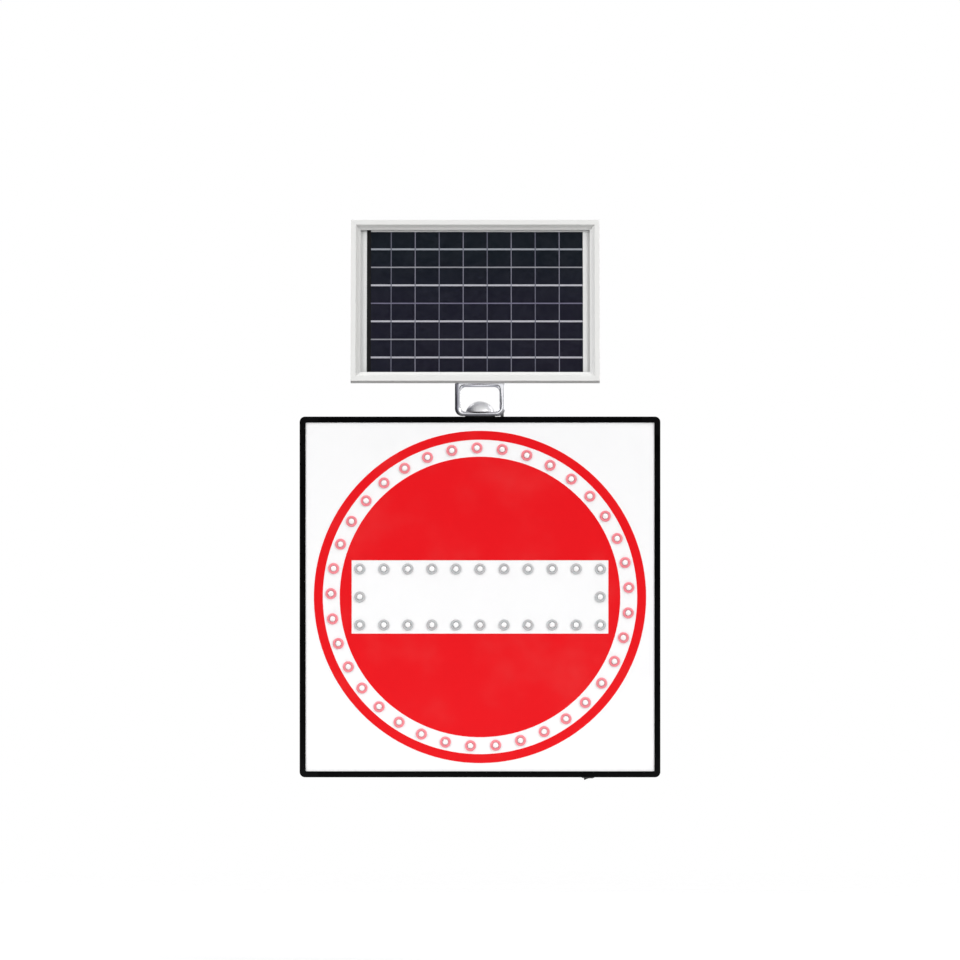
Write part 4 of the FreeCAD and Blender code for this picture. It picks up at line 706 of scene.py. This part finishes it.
def turn_solid(outline, segments, place, verts, faces):
    """Turns an open (radius, z) line whose two ends lie on the axis."""
    base = len(verts)
    first, last, middle = outline[0], outline[-1], outline[1:-1]
    verts.append(place(0, 0, first[1]))
    verts.append(place(0, 0, last[1]))
    count = len(middle)
    for i in range(segments):
        angle = 2 * math.pi * i / segments
        for radius, z in middle:
            verts.append(place(radius * math.cos(angle), radius * math.sin(angle), z))
    for i in range(segments):
        this, after = base + 2 + i * count, base + 2 + (i + 1) % segments * count
        faces.append((base, after, this))
        for k in range(count - 1):
            faces.append((this + k, after + k, after + k + 1, this + k + 1))
        faces.append((base + 1, this + count - 1, after + count - 1))


# ---------------------------------------------------------------------------
# lamps: a ring round the face and a bar across it, millimetres on the sign
# ---------------------------------------------------------------------------
RING_COUNT, RING_RADIUS, RING_START = 37, 248, 3.6      # start in degrees
BAR_PITCH, BAR_ROW = 40, 46.6                           # BAR_ROW is a row's height off the middle
ring_angles = [math.radians(RING_START + 360 * k / RING_COUNT) for k in range(RING_COUNT)]
ring_centres = [(RING_RADIUS * math.cos(a), RING_RADIUS * math.sin(a)) for a in ring_angles]
bar_centres = [(BAR_PITCH * k, BAR_ROW * side) for side in (1, -1) for k in range(-5, 6)]
bar_centres += [(5 * BAR_PITCH, 0), (-5 * BAR_PITCH, 0)]

# (radius, z out of the face)
BEZEL_OUTLINE = (
    [(5.1, 50.0), (6.5, 50.0), (6.5, 54.6), (7.0, 54.7), (7.1, 55.0), (7.1, 56.0),
     (6.5, 56.0), (6.5, 58.4), (9.2, 58.4)]
    + arc(7.6, 59.0, 1.6, 0, 90, 8)
    + [(6.9, 60.6), (6.2, 60.5)]
    + arc(5.9, 59.9, 0.55, 75, 165, 4)
    + [(5.1, 59.4)])
LENS_OUTLINE = ([(0, 48.8), (5.6, 48.8), (5.6, 49.9), (5.5, 50.0), (5.0, 50.0), (5.0, 58.0)]
                + arc(0, 58.0, 5.0, 8, 84, 10) + [(0, 63.0)])


def lamp_pieces(name, node, slot, turn, outline, segments, centres):
    verts, faces = [], []
    for lamp_x, lamp_y in centres:
        turn(outline, segments, lambda x, y, z: on_sign(lamp_x + x, lamp_y + y, z), verts, faces)
    ob = mesh_object(name, verts, faces, finishes[slot], angle=40)
    register(ob, node, "sign")


for label, centres, bezel_slot in (("ring", ring_centres, "pink_bezel"),
                                   ("bar", bar_centres, "grey_bezel")):
    lamp_pieces(label + "_bezel_rings", label + "_led_bezels", bezel_slot,
                turn_ring, BEZEL_OUTLINE, 48, centres)
    lamp_pieces(label + "_lamp_lenses", label + "_leds", "clear_lens",
                turn_solid, LENS_OUTLINE, 40, centres)

# ---------------------------------------------------------------------------
# loop bracket: a cast strap round a rounded opening, millimetres from the box top
# ---------------------------------------------------------------------------
# corner centres, anticlockwise from the lower right seen from the front:
# outer x, outer height, outer radius, inner x, inner height
LOOP_CORNERS = [
    (29.75, 13.2, 12.0, 23.5, 17.2),
    (36.75, 53.6, 5.0, 23.5, 40.6),
    (-36.75, 53.6, 5.0, -23.5, 40.6),
    (-29.75, 13.2, 12.0, -23.5, 17.2),
]
OPENING_RADIUS = 9.0
CORNER_STEPS, SIDE_STEPS = 14, 10
LOOP_HALF_DEPTH = 18
STRAP_EDGE = 4.6        # largest rounding of the strap's edges
STRAP_EDGE_STEPS = 7


def loop_pairs():
    """Matching points on the loop's outer and inner outlines, as (x, height) pairs."""
    corners = []
    for i, (outer_x, outer_up, outer_radius, inner_x, inner_up) in enumerate(LOOP_CORNERS):
        span = (90 * i - 90, 90 * i, CORNER_STEPS)
        corners += zip(arc(outer_x, outer_up, outer_radius, *span),
                       arc(inner_x, inner_up, OPENING_RADIUS, *span))
    pairs = []
    for i, pair in enumerate(corners):
        pairs.append(pair)
        if (i + 1) % (CORNER_STEPS + 1) == 0:
            after = corners[(i + 1) % len(corners)]
            for k in range(1, SIDE_STEPS):
                pairs.append(tuple(tuple(a + (b - a) * (k / SIDE_STEPS) for a, b in zip(p, q))
                                   for p, q in zip(pair, after)))
    return pairs


def cast_loop():
    verts, faces = [], []
    pairs = loop_pairs()
    for (outer_x, outer_up), (inner_x, inner_up) in pairs:
        thickness = math.hypot(inner_x - outer_x, inner_up - outer_up)
        step_x, step_up = (inner_x - outer_x) / thickness, (inner_up - outer_up) / thickness
        radius = min(thickness / 2, STRAP_EDGE) * 0.985     # keeps a sliver of flat
        far, front = thickness - radius, LOOP_HALF_DEPTH - radius
        section = (arc(far, front, radius, 0, 90, STRAP_EDGE_STEPS)
                   + arc(radius, front, radius, 90, 180, STRAP_EDGE_STEPS)
                   + arc(radius, -front, radius, 180, 270, STRAP_EDGE_STEPS)
                   + arc(far, -front, radius, 270, 360, STRAP_EDGE_STEPS))
        for inward, forward in section:
            verts.append(on_loop(outer_x + step_x * inward, forward,
                                 outer_up + step_up * inward))
    size = len(section)
    for i in range(len(pairs)):
        this, after = i * size, (i + 1) % len(pairs) * size
        for k in range(size):
            l = (k + 1) % size
            faces.append((this + k, this + l, after + l, after + k))
    ob = mesh_object("cast_loop", verts, faces, finishes["polished_loop"], angle=60)
    face_outward(ob, angle=60)
    register(ob, "loop_bracket", "loop")
    return ob


EAR_RADIUS, EAR_HOLE_RADIUS = 9, 4.08
EAR_FOOT = 54.6                         # height of the ears' lower edge
EAR_SPANS = ((14, 22), (-22, -14))      # x of each ear's two faces


def loop_ears():
    """Two upright ears on the loop, drilled for the tilt pivot."""
    rise = PIVOT_UP - EAR_FOOT
    outline = arc(0, PIVOT_UP, EAR_RADIUS, 0, 180, 24)      # (forward, height)
    outline += [(-EAR_RADIUS, PIVOT_UP - rise * k / 8) for k in range(1, 9)]
    outline += [(-EAR_RADIUS + 2 * EAR_RADIUS * k / 8, EAR_FOOT) for k in range(1, 9)]
    outline += [(EAR_RADIUS, EAR_FOOT + rise * k / 8) for k in range(1, 8)]
    angles = [math.atan2(up - PIVOT_UP, forward) for forward, up in outline]
    hole = [(EAR_HOLE_RADIUS * math.cos(a), PIVOT_UP + EAR_HOLE_RADIUS * math.sin(a))
            for a in angles]
    count = len(outline)
    verts, faces = [], []
    for span in EAR_SPANS:
        rim_a = len(verts)
        hole_a, rim_b, hole_b = rim_a + count, rim_a + 2 * count, rim_a + 3 * count
        for x in span:
            verts += [on_loop(x, forward, up) for forward, up in outline + hole]
        for k in range(count):
            l = (k + 1) % count
            faces.append((rim_a + k, rim_a + l, hole_a + l, hole_a + k))
            faces.append((rim_b + k, hole_b + k, hole_b + l, rim_b + l))
            faces.append((rim_a + k, rim_b + k, rim_b + l, rim_a + l))
            faces.append((hole_a + k, hole_a + l, hole_b + l, hole_b + k))
    ob = mesh_object("loop_ears", verts, faces, finishes["polished_loop"], angle=40)
    face_outward(ob, angle=40)
    bevel = ob.modifiers.new("edge", "BEVEL")
    bevel.width = 0.0006
    bevel.segments = 3
    bevel.limit_method = "ANGLE"
    bevel.angle_limit = math.radians(50)
    register(ob, "loop_bracket", "loop")
    return ob


DOME_RADIUS, DOME_WALL = 24.84, 1.5
DOME_Z = 470.76     # centre of the dome's sphere, mm in the row frame


def dome_cap():
    """Cap over the foot of the swivel bolt, turned with a rolled foot."""
    inside = DOME_RADIUS - DOME_WALL
    outline = [(0, DOME_Z + inside)]        # (radius, z)
    outline += arc(0, DOME_Z, inside, 88, 18.7, 25)
    outline += [(22.3, 478.2), (23.3, 478.2), (23.55, 478.3), (23.68, 478.5)]
    outline += arc(0, DOME_Z, DOME_RADIUS, 19.0, 88, 29)
    outline += [(0, DOME_Z + DOME_RADIUS)]
    verts, faces = [], []
    turn_solid(outline, 96, lambda x, y, z: Vector((x / 1000, AXIS_Y + y / 1000, z / 1000)),
               verts, faces)
    ob = mesh_object("turned_dome_cap", verts, faces, finishes["chrome_cap"], angle=50)
    register(ob, "dome_cap", "loop")
    return ob


loop = cast_loop()
ears = loop_ears()
cap = dome_cap()

# ---------------------------------------------------------------------------
# cables: swept tubes with round bends, running across the joints, metres
# ---------------------------------------------------------------------------
CABLE_RADIUS, CABLE_BEND = 0.00272, 0.009
CABLE_STEP = 0.0015                     # spacing of the rings along a cable
RISER_X, RISER_Y = 0.0372, -0.0606      # upright run beside the loop
CABLE_JOIN = (RISER_X, RISER_Y, 0.510)  # where the two cables meet


def centre_line(corners):
    """Straight runs with round bends, resampled evenly and smoothed."""
    corners = [Vector(corner) for corner in corners]
    line = [corners[0]]
    for before, corner, after in zip(corners, corners[1:], corners[2:]):
        back, ahead = (before - corner).normalized(), (after - corner).normalized()
        half = back.angle(ahead) / 2
        reach = CABLE_BEND / math.tan(half)
        centre = corner + (back + ahead).normalized() * (CABLE_BEND / math.sin(half))
        start, end = corner + back * reach - centre, corner + ahead * reach - centre
        sweep = start.angle(end)
        for k in range(13):
            s = k / 12
            line.append(centre + (start * math.sin((1 - s) * sweep)
                                  + end * math.sin(s * sweep)) / math.sin(sweep))
    line.append(corners[-1])

    total = sum((b - a).length for a, b in zip(line, line[1:]))
    count = max(4, int(round(total / CABLE_STEP)))
    spacing = total / count
    target, done = spacing, 0.0
    even = [line[0]]
    for a, b in zip(line, line[1:]):
        length = (b - a).length
        while length > 0 and done + length >= target - 1e-9 and len(even) < count:
            even.append(a.lerp(b, (target - done) / length))
            target += spacing
        done += length
    even.append(line[-1])
    for _ in range(10):
        inner = [(a + b * 2 + c) / 4 for a, b, c in zip(even, even[1:], even[2:])]
        even = [even[0]] + inner + [even[-1]]
    return even


def cable(name, node, corners, segments=24):
    """A capped round tube; its rings are carried along without twist."""
    line = centre_line(corners)
    verts, faces = [], []
    tangent = (line[1] - line[0]).normalized()
    side = Vector((1, 0, 0)) if abs(tangent.x) < 0.9 else Vector((0, 0, 1))
    side = (side - tangent * side.dot(tangent)).normalized()
    last = len(line) - 1
    for i, point in enumerate(line):
        tangent = (line[min(i + 1, last)] - line[max(i - 1, 0)]).normalized()
        side = (side - tangent * side.dot(tangent)).normalized()
        other = tangent.cross(side)
        for k in range(segments):
            a = 2 * math.pi * k / segments
            verts.append(point + (side * math.cos(a) + other * math.sin(a)) * CABLE_RADIUS)
    for i in range(last):
        this, after = i * segments, (i + 1) * segments
        for k in range(segments):
            l = (k + 1) % segments
            faces.append((this + k, this + l, after + l, after + k))
    faces.append(tuple(reversed(range(segments))))
    faces.append(tuple(last * segments + k for k in range(segments)))
    ob = mesh_object(name, verts, faces, finishes["cable_sheath"], angle=40)
    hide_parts(node)
    return ob


lower = cable("lower_cable", "cable_lower", [
    (0.037, -0.068, 0.432), (0.037, -0.018, 0.432), (0.037, -0.018, 0.466),
    (RISER_X, RISER_Y, 0.490), CABLE_JOIN])
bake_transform(lower)

upper = cable("upper_cable", "cable_upper", [
    CABLE_JOIN, (RISER_X, RISER_Y, 0.548), on_panel(60, 90, 4), on_panel(72, 120, 25.2),
    on_panel(72, 160, 25.2)])
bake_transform(upper)

# ---------------------------------------------------------------------------
# stage: floor, world, lights, camera
# ---------------------------------------------------------------------------
FLOOR_HALF, FLOOR_Z = 9, -0.46


def pale_floor():
    """Matt floor that fades out with distance and is clear from below."""
    m = material("pale_floor")
    x, y, _ = m.xyz()
    distance = m.math("SQRT", m.add(m.mul(x, x), m.mul(y, y)))
    hidden = m.math("MAXIMUM", m.span(distance, start=0.8, end=3.2), m.geometry("Backfacing"))
    color = m.mix((0.90, 0.90, 0.90), (0.93, 0.93, 0.93), mask=m.noise(scale=3, detail=3))
    clear = m.node("ShaderNodeBsdfTransparent")
    return m.finish(m.mix_shaders(hidden, m.principled(color, rough=0.8), clear.outputs[0]))


floor_corners = [(FLOOR_HALF * x, FLOOR_HALF * y, FLOOR_Z)
                 for x, y in ((-1, -1), (1, -1), (1, 1), (-1, 1))]
floor = mesh_object("studio_floor", floor_corners, [(0, 1, 2, 3)], pale_floor(), angle=35)

scene = bpy.context.scene


def studio_world():
    """White to the camera; to everything else a soft room, pale all round, with a dark patch
    straight in front of the sign so that its flat face shows its own colour."""
    w = Nodes(bpy.data.worlds.new("studio"), output="ShaderNodeOutputWorld")
    x, y, z = w.xyz(w.coords["Generated"])
    off_front = w.span(w.mul(y, -1.0), start=0.52, end=0.90, low=1.0, high=0.0)
    slope = w.add(w.mul(x, 0.42), w.mul(z, 0.35))       # brighter to the right and above
    room = w.ramp(w.mul(w.add(slope, 0.50), off_front), (0.0, (0.012, 0.012, 0.016)),
                  (0.22, (0.12, 0.12, 0.15)), (0.62, (1.0, 1.0, 1.0)))
    lit = w.node("ShaderNodeBackground", {"Color": room, "Strength": 0.70})
    seen = w.node("ShaderNodeBackground", {"Color": (1, 1, 1), "Strength": 1.0})
    camera_ray = w.node("ShaderNodeLightPath").outputs["Is Camera Ray"]
    return w.finish(w.mix_shaders(camera_ray, lit.outputs[0], seen.outputs[0]))


scene.world = studio_world()


def area_light(name, place, target, size, power):
    light = bpy.data.lights.new(name, "AREA")
    light.shape = "RECTANGLE"
    light.size, light.size_y = size
    light.energy = power
    ob = bpy.data.objects.new(name, light)
    scene.collection.objects.link(ob)
    ob.location = place
    ob.rotation_mode = "QUATERNION"
    ob.rotation_quaternion = (Vector(target) - Vector(place)).to_track_quat("-Z", "Y")
    return ob.light_linking


def light_set(name, *objects):
    group = bpy.data.collections.new(name)
    for ob in objects:
        group.objects.link(ob)
    return group


# name, place, target, size, power in watts; the two cards serve the loop only
MIDDLE = (0, -0.08, 0.33)
linking = {row[0]: area_light(*row) for row in (
    ("key", (3.6, -2.9, 2.6), MIDDLE, (2.0, 2.4), 128),
    ("fill", (-3.8, -2.8, 1.6), MIDDLE, (2.0, 2.4), 110),
    ("top", (0.0, -1.6, 4.6), MIDDLE, (3.0, 1.6), 40),
    ("back_key", (-2.6, 2.6, 2.6), MIDDLE, (2.2, 2.0), 62),
    ("back_fill", (3.0, 2.4, 0.9), MIDDLE, (2.2, 2.0), 34),
    ("loop_card", (0.35, -2.2, 1.1), (0, AXIS_Y, 0.50), (2.4, 1.5), 13),
    ("foot_card", (0.0, -0.95, -1.25), (0, AXIS_Y, 0.475), (1.6, 1.0), 4.5),
)}

# a white card in front of the polished pieces; it lights nothing else
card_receivers = light_set("card_receivers", loop, ears, cap, cad_nodes["tilt_bolt"])
linking["loop_card"].receiver_collection = card_receivers
# a low card for the loop's rounded foot; the box top does not block it
linking["foot_card"].receiver_collection = card_receivers
linking["foot_card"].blocker_collection = light_set("foot_blockers", loop, cap)
# the fill on the left is kept off the loop and cap so that their left edges stay dark
unfilled = light_set("fill_receivers", loop, cap)
linking["fill"].receiver_collection = unfilled
for member in unfilled.collection_objects:
    member.light_linking.link_state = "EXCLUDE"

scene.view_settings.view_transform = "Standard"
scene.view_settings.look = "None"
scene.view_settings.exposure = 0.0

# a long lens, level and square to the front
CAMERA_DISTANCE = 12.0
CAMERA_FOCUS_Y, CAMERA_Z = -0.114, 0.3645       # plane the distance is taken from; height

camera = bpy.data.cameras.new("camera")
camera.lens = 270.6
camera.sensor_width = 36.0
camera.clip_start, camera.clip_end = 0.05, 60.0
camera_object = bpy.data.objects.new("camera", camera)
scene.collection.objects.link(camera_object)
camera_object.location = (0.0, CAMERA_FOCUS_Y - CAMERA_DISTANCE, CAMERA_Z)
camera_object.rotation_euler = (math.radians(90), 0, 0)
scene.camera = camera_object
